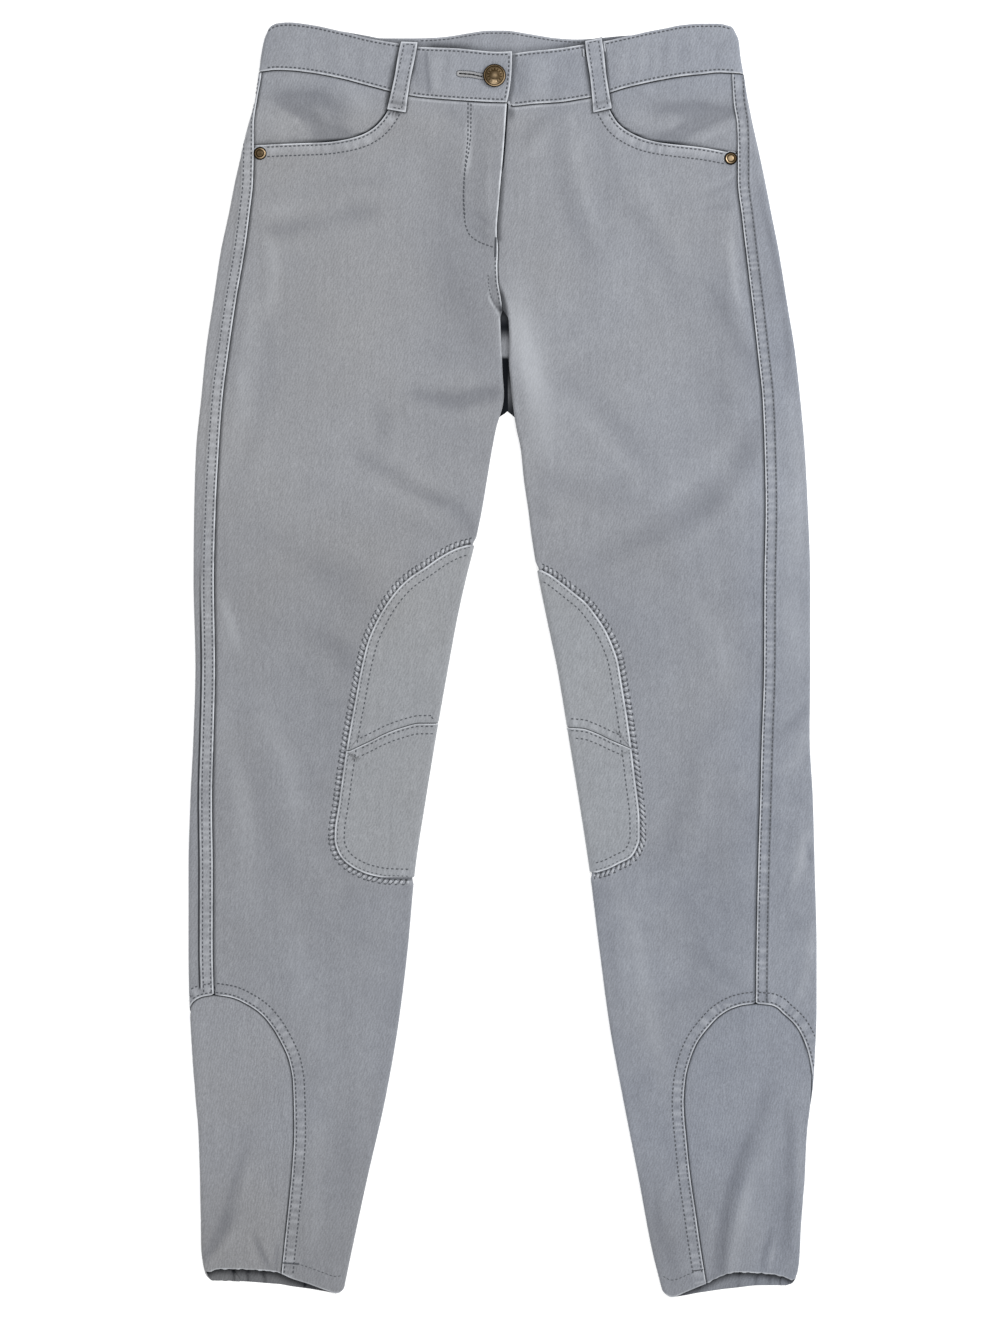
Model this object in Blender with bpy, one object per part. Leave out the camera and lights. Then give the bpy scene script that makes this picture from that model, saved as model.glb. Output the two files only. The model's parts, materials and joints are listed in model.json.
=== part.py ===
"""Riding breeches laid flat, front side up: every cut piece of cloth is its own closed solid.

Frame: +X to the wearer's left, +Y towards the waist, +Z up. The back lies on the plane z = 0.
Each leg is a flattened tube of cloth. A panel is a strip of that tube: a grid of points that runs
across the upper layer, round the fold at the leg's edge and on across the lower layer.
All sizes below are millimetres. A half's x values are measured outwards from the centre line.
"""

import math

import bpy
import numpy as np

MM = 0.001

# Cloth and layers
WALL = 1.2  # panel cloth with its pressed seam allowances
CLEAR = 3.2  # air between a leg's two layers
LOFT = 2 * WALL + CLEAR
FOLD = (LOFT - WALL) / 2  # radius of the cloth's middle at a folded edge
TOP = LOFT - WALL / 2  # height of the upper layer's middle
GAP = 0.3  # between neighbouring pieces
CURVED_GAP = 0.6  # between pieces whose shared seam curves: side seams, ankle arches, waist
PATCH_WALL = 1.0
PATCH_GAP = 0.5
PATCH_STAND = PATCH_GAP + PATCH_WALL  # how far a knee patch stands out from its leg
PATCH_EASE = 5.0  # length over which the leg draws in under the patch
PATCH_FOLD = 122.0  # degrees that a knee patch goes round the inner fold
LAP_RISE = 0.9  # the back's turned edge lies this much higher along the side seam
LAP_WIDTH = 9.0
FLY_RISE = 0.7
FLY_WIDTH = 12.0
FLY_END = 342.0  # height of the fly's lower end
EDGE_STRIP = 6.0  # flat strip beside the centre-front seam that turns under in the crotch slot
INSERT_SINK = 0.5  # the ankle insert lies this much lower than the panels lapped over it

# Waistband
BAND_WALL = 1.6
BAND_LOFT = 6.0
BAND_FOLD = (BAND_LOFT - BAND_WALL) / 2
BAND_TOP = BAND_LOFT - BAND_WALL / 2
FACING_WALL = 1.0
OVERLAP_RISE = 0.7
UNDERLAP_SINK = 1.2
OVERLAP_END = 8.0
UNDERLAP_END = -16.0
LAP_EASE = 16.0  # length over which an end of the band rises or sinks

# Buttonhole, button and rivets
HOLE_START, HOLE_END = -34.0, -3.3
HOLE_SLIT = 0.8  # half height of the slit
HOLE_EYE = 2.7  # half height of the eyelet round the shank
BUTTON_X, BUTTON_Y = -6.0, 467.0
BUTTON_RADIUS = 9.2
BUTTON_HEIGHT = 3.0
SHANK_RADIUS = 2.2
RIVET_RADIUS = 4.7
RIVET_HEIGHT = 1.5

# Pocket mouths
MOUTH_UNDER = 8.0  # how far a pocket facing runs on under the front
FACING_SINK = 1.5  # a pocket facing's depth under the front's wall

# Belt loops
LOOP_WALL = 1.2
LOOP_BOW = 0.7


def through(places, values):
    """A curve through a table's points that never overshoots them (monotone cubic)."""
    order = np.argsort(places)
    x = np.array(places, float)[order]
    y = np.array(values, float)[order]
    step = np.diff(x)
    rise = np.diff(y) / step
    slope = np.zeros_like(y)
    slope[0], slope[-1] = rise[0], rise[-1]
    for i in range(1, len(x) - 1):
        if rise[i - 1] * rise[i] > 0:
            near, far = 2 * step[i] + step[i - 1], step[i] + 2 * step[i - 1]
            slope[i] = (near + far) / (near / rise[i - 1] + far / rise[i])

    def at(place):
        place = min(max(place, x[0]), x[-1])
        i = min(max(int(np.searchsorted(x, place)) - 1, 0), len(step) - 1)
        f = (place - x[i]) / step[i]
        bend = step[i] * ((1 - f) * slope[i] - f * slope[i + 1])
        level = y[i] * (1 - f) ** 2 * (1 + 2 * f) + y[i + 1] * f**2 * (3 - 2 * f)
        return level + f * (1 - f) * bend

    return at


def table(columns, rows):
    """One curve per named column, each over the first column."""
    data = np.array(rows, float)
    return {
        name: through(data[:, 0], data[:, i])
        for i, name in enumerate(columns.split())
        if i
    }


def blend(a, b, f):
    return a + (b - a) * f


def ease(value, start, end):
    """0 before start, 1 after end, smooth between."""
    f = min(max((value - start) / (end - start), 0.0), 1.0)
    return f * f * (3 - 2 * f)


# Outlines of the right half
RIGHT_SIDE = table(
    "height outer seam",
    (
        (505, 187, 187),
        (496, 190.5, 189.5),
        (483, 193, 191.5),
        (471, 194.5, 192),
        (448, 197.5, 195.5),
        (428, 203, 198.5),
        (408, 208, 198.5),
        (384, 213.5, 199.5),
        (356, 219, 203),
        (328, 225, 206.5),
        (288, 231, 214),
        (248, 237, 219.5),
        (208, 241, 224),
        (168, 245, 226.5),
        (120, 246.5, 229),
        (64, 247, 230),
        (-6, 245.5, 229),
        (-60, 247, 230),
        (-112, 249.5, 232),
        (-168, 251, 232),
        (-232, 251, 231),
        (-268, 250.5, 230.5),
        (-320, 248, 229),
        (-352, 245.5, 228),
        (-384, 243, 227),
        (-448, 241.5, 226),
        (-472, 241, 226),
        (-487, 239, 225),
        (-496, 236, 224),
    ),
)
RIGHT_INNER = table(
    "height inner",
    (
        (277, 1.5),
        (264, 1.0),
        (246, -0.8),
        (227, -1.2),
        (213, -1.8),
        (204, -0.8),
        (195, 1.8),
        (188, 4),
        (168, 8),
        (144, 12),
        (120, 16),
        (96, 21),
        (64, 29),
        (32, 36),
        (-6, 43),
        (-60, 52.5),
        (-112, 61),
        (-168, 69.5),
        (-232, 75.5),
        (-292, 83),
        (-352, 93.5),
        (-416, 108),
        (-472, 120),
        (-506, 127),
    ),
)
RIGHT_ANKLE = table(
    "height front back",
    (
        (-268, 230.5, 230.5),
        (-270, 217.5, 241),
        (-275, 205.5, 248),
        (-283, 193.5, 252),
        (-292, 185.5, 255),
        (-306, 177, 259),
        (-321, 170.5, 262.5),
        (-338, 167.5, 265),
        (-378, 166.5, 264),
        (-406, 168, 262),
        (-433, 170.5, 260),
        (-461, 173.5, 259),
        (-505, 178, 258),
    ),
)
RIGHT_MOUTH = table(
    "out height",
    (
        (60, 453.2),
        (84, 453),
        (92, 438),
        (97, 431),
        (104, 424),
        (113.5, 419),
        (125.5, 416),
        (141, 414),
        (160, 413),
        (177, 412),
        (200, 411),
    ),
)
RIGHT_HEM = table(
    "out front back",
    (
        (125.5, -504, -504),
        (132.5, -506, -506.5),
        (155, -500, -502.5),
        (168.5, -496, -501),
        (178, -492, -499.5),
        (184, -491, -499),
        (214, -489, -497),
        (227.5, -489, -496.5),
        (234, -491, -495),
        (238, -492, -493),
    ),
)
RIGHT_PATCH = table(
    "height edge",
    (
        (93, 21.5),
        (90, 33.5),
        (83, 48),
        (74, 61),
        (65, 74.5),
        (55, 84.5),
        (41, 94.5),
        (28, 101.5),
        (15, 107),
        (0, 111),
        (-31, 117),
        (-76, 125),
        (-119, 131),
        (-135, 133),
        (-144, 133),
        (-153, 130.5),
        (-159, 125),
        (-166, 117),
        (-171, 105),
        (-174, 93),
        (-175, 80),
    ),
)
RIGHT_KNEE_SEAM = table(
    "out height",
    ((46, -51), (66, -51), (79, -54), (93, -59), (105, -65), (122, -73)),
)

# Outlines of the left half
LEFT_SIDE = table(
    "height outer seam",
    (
        (505, 185.5, 184),
        (496, 189.5, 184),
        (483, 191, 184),
        (471, 193, 184),
        (448, 197, 185),
        (428, 201, 188),
        (408, 205.5, 188.5),
        (384, 210.5, 188.5),
        (356, 216, 192),
        (328, 221.5, 195),
        (288, 228, 199.5),
        (248, 234.5, 203.5),
        (208, 239, 208),
        (168, 242.5, 209.5),
        (120, 245, 210.5),
        (64, 247, 209.5),
        (-6, 247, 209),
        (-60, 246.5, 207.5),
        (-112, 249, 206),
        (-168, 250.5, 204),
        (-232, 252, 203),
        (-275, 252, 203),
        (-320, 250.5, 202),
        (-352, 248, 201),
        (-384, 244, 200),
        (-416, 242.5, 200),
        (-448, 240, 200),
        (-487, 237.5, 200),
        (-496, 235, 200),
    ),
)
LEFT_INNER = table(
    "height inner",
    (
        (277, 5),
        (257, 5.8),
        (239, 5.5),
        (223, 6.8),
        (210, 8),
        (196, 9.8),
        (188, 11),
        (168, 15),
        (144, 17.5),
        (120, 21),
        (96, 24),
        (64, 29.5),
        (32, 36),
        (-6, 44),
        (-60, 53),
        (-112, 61.5),
        (-168, 70),
        (-232, 78),
        (-292, 86),
        (-352, 97),
        (-416, 109.5),
        (-472, 120),
        (-508, 129),
    ),
)
LEFT_ANKLE = table(
    "height front back",
    (
        (-275, 203, 203),
        (-276.5, 192, 216),
        (-283, 177, 225),
        (-294, 165.5, 236),
        (-307, 156, 242.5),
        (-319, 151, 246),
        (-335, 147, 248.3),
        (-354, 145.5, 248.9),
        (-387, 148, 247.5),
        (-415, 151, 246),
        (-439, 154.5, 245.5),
        (-477, 160, 244),
        (-508, 165, 243),
    ),
)
LEFT_MOUTH = table(
    "out height",
    (
        (60, 451.2),
        (78, 451),
        (85, 441),
        (88, 435),
        (93.5, 427),
        (102.5, 420),
        (115, 414),
        (130.5, 411),
        (145, 410),
        (160, 409),
        (176, 406),
        (190, 403),
    ),
)
LEFT_HEM = table(
    "out front back",
    (
        (127, -504, -504),
        (137, -508, -509),
        (148, -504, -507),
        (164, -499, -505),
        (178.5, -493, -503),
        (187, -491, -502),
        (207, -492, -500),
        (217.5, -493, -500),
        (226.5, -495, -500),
        (232, -497, -499),
        (237, -497.5, -498),
    ),
)
LEFT_PATCH = table(
    "height edge",
    (
        (73, 28.5),
        (68, 38.5),
        (61, 48),
        (53, 58),
        (45, 67.5),
        (36, 74.5),
        (24, 82.5),
        (12, 88),
        (-1, 92.5),
        (-15, 95),
        (-53, 101),
        (-93, 106),
        (-132, 110),
        (-143, 110),
        (-151, 107.5),
        (-158, 103),
        (-163, 93.5),
        (-168, 83),
        (-171, 72),
    ),
)
LEFT_KNEE_SEAM = table(
    "out height",
    ((46, -54), (64, -55), (76, -59), (86.5, -64), (103, -71)),
)

# Centre lines, as x in the frame
CENTRE_FRONT = table(
    "height x",
    (
        (445, 4),
        (409, 1.5),
        (370, -2),
        (342, -4),
        (328, -3),
        (315, -3.5),
        (303, -3),
        (291, -1),
        (277, 1),
    ),
)
CENTRE_BACK = table("height x", ((463, 3), (199, 4.8)))
BACK_POINT = 199.0  # lowest point of the back between the legs
BACK_FLANK = 194.5

# Waistband edges, as height over x in the frame
RIGHT_BAND = table(
    "x top bottom",
    (
        (-194, 505, 471),
        (-187.5, 505, 472),
        (-181, 509, 472.7),
        (-171, 510, 472.5),
        (-153, 508, 470.5),
        (-129.5, 503, 465),
        (-105.5, 497, 459),
        (-82.5, 493, 453.5),
        (-65.5, 490, 451),
        (-38.5, 489, 448),
        (-2.5, 485.5, 446.2),
        (8, 486, 446),
    ),
)
LEFT_BAND = table(
    "x top bottom",
    (
        (-16, 484, 449),
        (3.5, 483.3, 447.2),
        (8, 483, 443.5),
        (26.5, 486, 445),
        (45, 489, 446.7),
        (62.5, 493, 449),
        (83, 495, 453),
        (97.5, 499, 458),
        (115, 503, 463),
        (130.5, 505, 466),
        (145, 508, 468),
        (160, 509, 469),
        (173.5, 509, 470),
        (182.5, 507, 469),
        (194, 504, 468),
    ),
)
BACK_BAND = table(
    "x top bottom",
    (
        (-194, 505, 471),
        (-150, 501, 467.5),
        (-95, 495, 465),
        (-49.5, 498, 463.5),
        (-13, 503, 463),
        (2.5, 503, 463),
        (24, 500, 463),
        (56, 496.5, 463),
        (95, 496, 464),
        (150, 500, 465.5),
        (194, 504, 468),
    ),
)

# How the front's inner edge lies: degrees that it turns under, and 0 flat to 1 folded
EDGE_TURN = table("height angle", ((-520, 180), (168, 180), (187, 112), (520, 112)))
EDGE_FOLDED = table("height folded", ((-520, 1), (273, 1), (280, 0), (520, 0)))

# The largest folds: soft troughs (depth below 0) and ridges along a line on a half's upper layer
FOLDS = {
    "right": (
        # out, height at one end, out, height at the other, width, depth
        (118, 440, 146, 424, 26, -0.7),
        (165, 452, 140, 440, 24, -0.6),
        (206, -424, 238, -478, 22, -1.3),
        (10, 219, 44, 206, 22, -0.7),
        (180, 345, 205, 330, 30, -0.6),
        (222, 48, 208, 22, 16, 0.5),
    ),
    "left": (
        (112, 424, 150, 446, 24, 0.6),
        (150, 446, 178, 440, 22, -0.7),
        (197, -360, 173, -490, 24, -1.4),
        (226, -368, 234, -448, 20, -1.0),
        (236, -62, 205, -50, 18, -0.6),
        (240, -148, 214, -190, 20, -0.7),
        (20, 200, 60, 190, 24, -0.5),
    ),
}


class Half:
    """One half of the breeches. Points are (outwards, height, up); sign turns outwards into x."""

    def __init__(self, name, sign, side, inner, ankle, mouth, hem, patch, knee, band):
        self.name = name
        self.sign = sign
        self.outer, self.seam = side["outer"], side["seam"]
        self.inner = inner["inner"]
        self.arch_front, self.arch_back = ankle["front"], ankle["back"]
        self.mouth = mouth["height"]
        self.hem = hem
        self.patch = patch["edge"]
        self.knee_seam = knee["height"]
        self.band = band

    def patch_room(self, y):
        """The leg draws in under its knee patch by the patch's stand."""
        above_end = ease(y, self.patch_bottom - PATCH_EASE, self.patch_bottom)
        below_top = 1 - ease(y, self.patch_top, self.patch_top + PATCH_EASE)
        return PATCH_STAND * above_end * below_top

    def fold_out(self, y):
        return self.outer(y) - LOFT / 2

    def fold_in(self, y):
        """Where the upper layer's flat part starts: the inner fold, or the centre-front strip."""
        flat = self.centre_front(y) + EDGE_STRIP
        return blend(flat, self.inner(y) + self.patch_room(y) + LOFT / 2, EDGE_FOLDED["folded"](y))

    def relief(self, x, y):
        """Rise of the upper layer from its folds, none at the leg's edges."""
        rise = 0.0
        for x0, y0, x1, y1, width, depth in FOLDS[self.name]:
            along_x, along_y = x1 - x0, y1 - y0
            length = math.hypot(along_x, along_y)
            f = ((x - x0) * along_x + (y - y0) * along_y) / length**2
            f = min(max(f, 0.0), 1.0)
            distance = math.hypot(x - x0 - f * along_x, y - y0 - f * along_y)
            rise += depth * math.exp(-((2 * distance / width) ** 2))
        return rise * ease(self.fold_out(y) - x, 0, 8) * ease(x - self.fold_in(y), 0, 8)

    def around(self, x, y):
        """Distance along the cloth to the point seen from above at x."""
        start = self.fold_out(y)
        if x <= start:
            return x
        return start + FOLD * math.asin(min((x - start) / FOLD, 1.0))

    def ring(self, u, y, lift=0.0):
        """Middle of the cloth at distance u along the leg's ring, and its outward direction."""
        a, b = self.fold_in(y), self.fold_out(y)
        if a <= u <= b:
            return np.array((u, y, TOP + lift + self.relief(u, y))), np.array((0, 0, 1.0))
        start, way, t = (b, 1, u - b) if u > b else (a, -1, a - u)
        if t < math.pi * FOLD:
            angle = t / FOLD
            out = np.array((way * math.sin(angle), 0, math.cos(angle)))
            return np.array((start, y, LOFT / 2)) + out * (FOLD + lift), out
        x = start - way * (t - math.pi * FOLD)
        return np.array((x, y, WALL / 2 - lift)), np.array((0, 0, -1.0))

    def centre_front(self, y):
        return self.sign * CENTRE_FRONT["x"](y) + GAP / 2

    def side_edge(self, y):
        """Outer edge of the front: the side seam, and below it the ankle insert's front edge."""
        if y > self.arch_top:
            return self.around(self.seam(y), y)
        return self.arch_front(y)

    def front_top(self, x):
        waist = self.band["bottom"](self.sign * x)
        if self.name == "left" and x < OVERLAP_END + 1:
            waist = min(waist, RIGHT_BAND["bottom"](OVERLAP_END))
        return min(self.mouth(x), waist - CURVED_GAP)

    def top_limit(self, u, x, y):
        """Height of the waistband's lower edge on whichever layer u lies."""
        over = self.band if u <= self.fold_out(y) + FOLD * math.pi / 2 else BACK_BAND
        return over["bottom"](self.sign * x) - CURVED_GAP

    def hem_limit(self, u, x, y):
        on_top = u <= self.fold_out(y) + FOLD * math.pi / 2
        return self.hem["front" if on_top else "back"](x)

    def sections(self):
        """Heights of a front's or back's cross sections, from hem to waist."""
        rows = ROWS_HEM + ROWS_ANKLE + self.arch_rows + (self.arch_top,)
        rows += ROWS_LEG + ROWS_CROTCH + ROWS_HIP + ROWS_WAIST
        rows += (self.patch_bottom - PATCH_EASE, self.patch_bottom)
        rows += (self.patch_top, self.patch_top + PATCH_EASE)
        return sorted(rows)

    def world(self, point):
        return np.array((self.sign * point[0], point[1], point[2]))


# Heights of the cross sections, closer where an edge turns: hem, ankle arch, crotch, waist
ROWS_HEM = (-505.0, -490.0, -470.0)
ROWS_ANKLE = (-440, -410, -378, -350, -330, -314, -301, -291, -283)
ROWS_LEG = (-240, -205, -155, -130, -100, -70, -35, 0, 32, 58, 118, 145)
ROWS_CROTCH = (168, 188, 194.5, 199.5, 212, 235, 258, 272.5, 276.5, 280.5)
ROWS_HIP = (300, 330, 358, 385)
ROWS_WAIST = (400.0, 420.0, 440.0)
LOW, HIGH = ROWS_HEM[-1], ROWS_HIP[-1]


def fitted(station, low, high):
    """A section's height where the piece ends at the heights low and high."""
    if station < LOW:
        return LOW - (LOW - station) * (LOW - low) / (LOW - ROWS_HEM[0])
    if station > HIGH:
        return HIGH + (station - HIGH) * (high - HIGH) / (ROWS_WAIST[-1] - HIGH)
    return station


def material(name, colour, roughness, metallic):
    made = bpy.data.materials.new(name)
    made.use_nodes = True
    shader = made.node_tree.nodes["Principled BSDF"]
    shader.inputs["Base Color"].default_value = (*colour, 1.0)
    shader.inputs["Roughness"].default_value = roughness
    shader.inputs["Metallic"].default_value = metallic
    made.diffuse_color = (*colour, 1.0)
    return made


def add_object(name, vertices, faces, colour, roughness, metallic=0.0):
    """One closed solid from points in millimetres, faces turned outwards."""
    points = np.array(vertices, float) * MM
    volume = 0.0
    for face in faces:
        for i in range(1, len(face) - 1):
            volume += np.dot(
                points[face[0]], np.cross(points[face[i]], points[face[i + 1]])
            )
    if volume < 0:
        faces = [face[::-1] for face in faces]
    mesh = bpy.data.meshes.new(name)
    mesh.from_pydata(points.tolist(), [], faces)
    mesh.update()
    mesh.shade_smooth()
    mesh.set_sharp_from_angle(angle=math.radians(50))
    mesh.materials.append(material(name, colour, roughness, metallic))
    made = bpy.data.objects.new(name, mesh)
    bpy.context.scene.collection.objects.link(made)
    return made


TWILL = (0.31, 0.33, 0.36)
PATCH_TWILL = (0.33, 0.35, 0.38)
STRETCH = (0.29, 0.31, 0.33)
ANTIQUE_BRASS = (0.33, 0.24, 0.12)


def add_cloth(name, points, outward, wall, colour, gap_cells=()):
    """A wall of cloth on a grid of middle points; gap_cells are left open."""
    points, outward = np.array(points), np.array(outward)
    rows, columns = points.shape[:2]
    vertices = []
    for side in (0.5, -0.5):
        vertices += (points + outward * wall * side).reshape(-1, 3).tolist()
    under = rows * columns
    cells = [
        (r, c)
        for r in range(rows - 1)
        for c in range(columns - 1)
        if (r, c) not in gap_cells
    ]
    faces, edges = [], {}
    for r, c in cells:
        loop = (
            r * columns + c,
            r * columns + c + 1,
            (r + 1) * columns + c + 1,
            (r + 1) * columns + c,
        )
        faces.append(loop)
        faces.append(tuple(under + i for i in reversed(loop)))
        for a, b in zip(loop, loop[1:] + loop[:1]):
            if (b, a) in edges:
                del edges[(b, a)]
            else:
                edges[(a, b)] = True
    faces += [(b, a, under + a, under + b) for a, b in edges]
    used = sorted({i for face in faces for i in face})
    number = {old: new for new, old in enumerate(used)}
    vertices = [vertices[i] for i in used]
    faces = [tuple(number[i] for i in face) for face in faces]
    return add_object(name, vertices, faces, colour, roughness=0.9)


FRONT_FOLD_COLUMNS = 4
# Shares of the front's width, closer where the pocket's mouth is steep
FRONT_SHARES = (0, 0.17, 0.33, 0.41, 0.45, 0.485, 0.53, 0.6, 0.73, 0.865, 1)


def front_grid_point(half, column, y):
    """A point of the front: round its inner edge first, then across to its outer edge."""
    folded = EDGE_FOLDED["folded"](y)
    flat_start = half.centre_front(y)
    start = half.fold_in(y)
    rise = 0.0
    if half.name == "right":
        rise = FLY_RISE * ease(y, FLY_END - 12, FLY_END)
    if column < FRONT_FOLD_COLUMNS:
        f = 1 - column / FRONT_FOLD_COLUMNS
        turned, out = half.ring(start - f * math.radians(EDGE_TURN["angle"](y)) * FOLD, y)
        flat = np.array((flat_start + (1 - f) * EDGE_STRIP, y, TOP + rise))
        out = blend(np.array((0, 0, 1.0)), out, folded)
        return blend(flat, turned, folded), out / np.linalg.norm(out)
    end = half.side_edge(y) - CURVED_GAP / 2
    x = blend(start, end, FRONT_SHARES[column - FRONT_FOLD_COLUMNS])
    rise *= 1 - ease(x - flat_start, EDGE_STRIP, FLY_WIDTH + EDGE_STRIP)
    return half.ring(x, y, rise)


def add_front(half):
    points, outward = [], []
    for station in half.sections():
        row = []
        for column in range(FRONT_FOLD_COLUMNS + len(FRONT_SHARES)):
            y = station
            for _ in range(8):
                point = front_grid_point(half, column, y)[0]
                x = max(point[0], half.fold_in(y)) if y < BACK_FLANK else point[0]
                low = half.hem["front"](x)
                y = fitted(station, low, half.front_top(x))
            row.append(front_grid_point(half, column, y))
        points.append([half.world(p) for p, _ in row])
        outward.append([half.world(n) for _, n in row])
    add_cloth("front_" + half.name, points, outward, WALL, TWILL)


BACK_TURN_COLUMNS = 6
BACK_COLUMNS = 5


def back_inner_edge(half, y):
    """Where the back ends on the lower layer: centre back, crotch flank, then the inseam."""
    centre = half.sign * CENTRE_BACK["x"](y) + GAP / 2
    flank = half.inner(BACK_FLANK) + GAP / 2
    inseam = half.fold_in(y) + GAP
    if y >= BACK_POINT:
        return centre
    if y >= BACK_FLANK:
        return blend(flank, centre, (y - BACK_FLANK) / (BACK_POINT - BACK_FLANK))
    return blend(inseam, flank, max((y - 188) / (BACK_FLANK - 188), 0.0))


def back_grid_point(half, column, y):
    """A point of the back: from the side seam round the outer fold, then across below."""
    below_arch = y < half.arch_top
    start = half.arch_back(y) if below_arch else half.around(half.seam(y), y)
    start += CURVED_GAP / 2
    b = half.fold_out(y)
    turn_end = b + math.pi * FOLD
    if column <= BACK_TURN_COLUMNS:
        if start > turn_end - 2:
            end = start + 12
            u = blend(start, end, column / BACK_TURN_COLUMNS)
            return half.ring(u, y)
        lap = min(LAP_WIDTH, 0.4 * (turn_end - start))
        marks = (0, lap, lap + 1.5)
        if column < len(marks):
            u = start + marks[column]
        else:
            share = (column - 2) / (BACK_TURN_COLUMNS - 2)
            u = blend(start + marks[2], turn_end, share)
        lift = 0.0 if column > 1 or below_arch else LAP_RISE
        return half.ring(u, y, lift)
    x_start = b if start <= turn_end - 2 else b - (start + 12 - turn_end)
    x_end = back_inner_edge(half, y)
    f = (column - BACK_TURN_COLUMNS) / BACK_COLUMNS
    return half.ring(turn_end + b - blend(x_start, x_end, f), y)


def add_back(half):
    points, outward = [], []
    for station in half.sections():
        row = []
        for column in range(BACK_TURN_COLUMNS + BACK_COLUMNS + 1):
            y = station
            for _ in range(8):
                x = back_grid_point(half, column, y)[0][0]
                u = half.fold_out(y)
                on_top = back_grid_point(half, column, y)[1][2] > 0
                u = u if on_top else u + FOLD * math.pi
                y = fitted(station, half.hem_limit(u, x, y), half.top_limit(u, x, y))
            row.append(back_grid_point(half, column, y))
        points.append([half.world(p) for p, _ in row])
        outward.append([half.world(n) for _, n in row])
    add_cloth("back_" + half.name, points, outward, WALL, TWILL)


INSERT_COLUMNS = 13


def side_gap(edge, y):
    """A sideways gap that stays the same width square to a sloping edge."""
    slope = (edge(y + 0.25) - edge(y - 0.25)) / 0.5
    return CURVED_GAP * math.hypot(1, slope)


def insert_point(half, column, y):
    front = half.arch_front(y) + side_gap(half.arch_front, y)
    back = half.arch_back(y) - 1.7 * side_gap(half.arch_back, y)
    b = half.fold_out(y)
    turn_end = b + math.pi * FOLD
    if back > turn_end + 2:
        marks = np.concatenate(
            (np.linspace(front, b, 8), np.linspace(b, turn_end, 5)[1:], (back - 6, back))
        )
        marks = np.maximum.accumulate(np.clip(marks, front, back))
    else:
        marks = np.linspace(front, back, INSERT_COLUMNS + 1)
    u = marks[column]
    sink = INSERT_SINK * ease(turn_end - u, FOLD, math.pi * FOLD)
    return half.ring(u, y, -sink), u


def add_insert(half):
    stations = ROWS_HEM + ROWS_ANKLE + half.arch_rows
    points, outward = [], []
    for station in sorted(stations):
        row = []
        for column in range(INSERT_COLUMNS + 1):
            y = station
            for _ in range(8):
                (point, _), u = insert_point(half, column, y)
                y = fitted(station, half.hem_limit(u, point[0], y), HIGH)
            row.append(insert_point(half, column, y)[0])
        points.append([half.world(p) for p, _ in row])
        outward.append([half.world(n) for _, n in row])
    add_cloth("ankle_insert_" + half.name, points, outward, WALL, STRETCH)


PATCH_FOLD_COLUMNS = 3
PATCH_COLUMNS = 5


def patch_grid_point(half, column, y):
    lift = WALL / 2 + PATCH_GAP + PATCH_WALL / 2
    if column < PATCH_FOLD_COLUMNS:
        f = 1 - column / PATCH_FOLD_COLUMNS
        return half.ring(half.fold_in(y) - f * math.radians(PATCH_FOLD) * FOLD, y, lift)
    f = (column - PATCH_FOLD_COLUMNS) / PATCH_COLUMNS
    return half.ring(blend(half.fold_in(y), half.patch(y), f), y, lift)


def add_patch(half, name, stations, seam_row, gap):
    """Part of a knee patch; its row seam_row follows the seam across the knee."""
    points, outward = [], []
    for number, station in enumerate(stations):
        row = []
        for column in range(PATCH_FOLD_COLUMNS + PATCH_COLUMNS + 1):
            y = station
            if number == seam_row:
                for _ in range(8):
                    x = patch_grid_point(half, column, y)[0][0]
                    y = half.knee_seam(x) + gap
            row.append(patch_grid_point(half, column, y))
        points.append([half.world(p) for p, _ in row])
        outward.append([half.world(n) for _, n in row])
    add_cloth(name + "_" + half.name, points, outward, PATCH_WALL, PATCH_TWILL)


def add_patches(half):
    top, bottom = half.patch_top, half.patch_bottom
    upper = np.concatenate((top - np.array((1.5, 5, 11, 19, 29, 40)), (30, 12, -8, -28, -60)))
    lower = (-60, -92, -116, -134, -146, -154, -160, -165, bottom + 1.0)
    add_patch(half, "patch_upper", upper, len(upper) - 1, GAP / 2)
    add_patch(half, "patch_lower", [y for y in lower if y > bottom], 0, -GAP / 2)


def add_pocket_facing(half, inner_end):
    """The hip yoke seen in the pocket's mouth, which runs on a little under the front."""
    columns = 11
    # share of the way from mouth to waistband, and depth under the panels' level
    levels = ((0.1, 1.2), (0.3, 0.75), (0.65, 0.6), (1.0, 0.5))
    points, outward = [], []
    for level in range(len(levels) + 2):
        row = []
        for column in range(columns + 1):
            x, y = inner_end, 430.0
            for _ in range(8):
                end = half.around(half.seam(y), y) - CURVED_GAP / 2
                u = blend(inner_end, end, column / columns)
                x = min(u, half.outer(y))
                mouth = half.mouth(x)
                if level < 2:
                    y, sink = mouth - (MOUTH_UNDER, 0.6)[level], FACING_SINK
                else:
                    share, sink = levels[level - 2]
                    waist = half.band["bottom"](half.sign * x) - 1.5 * CURVED_GAP
                    y = blend(mouth, waist, share)
            row.append(half.ring(u, y, -sink))
        points.append([half.world(p) for p, _ in row])
        outward.append([half.world(n) for _, n in row])
    add_cloth("pocket_facing_" + half.name, points, outward, WALL, TWILL)


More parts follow.
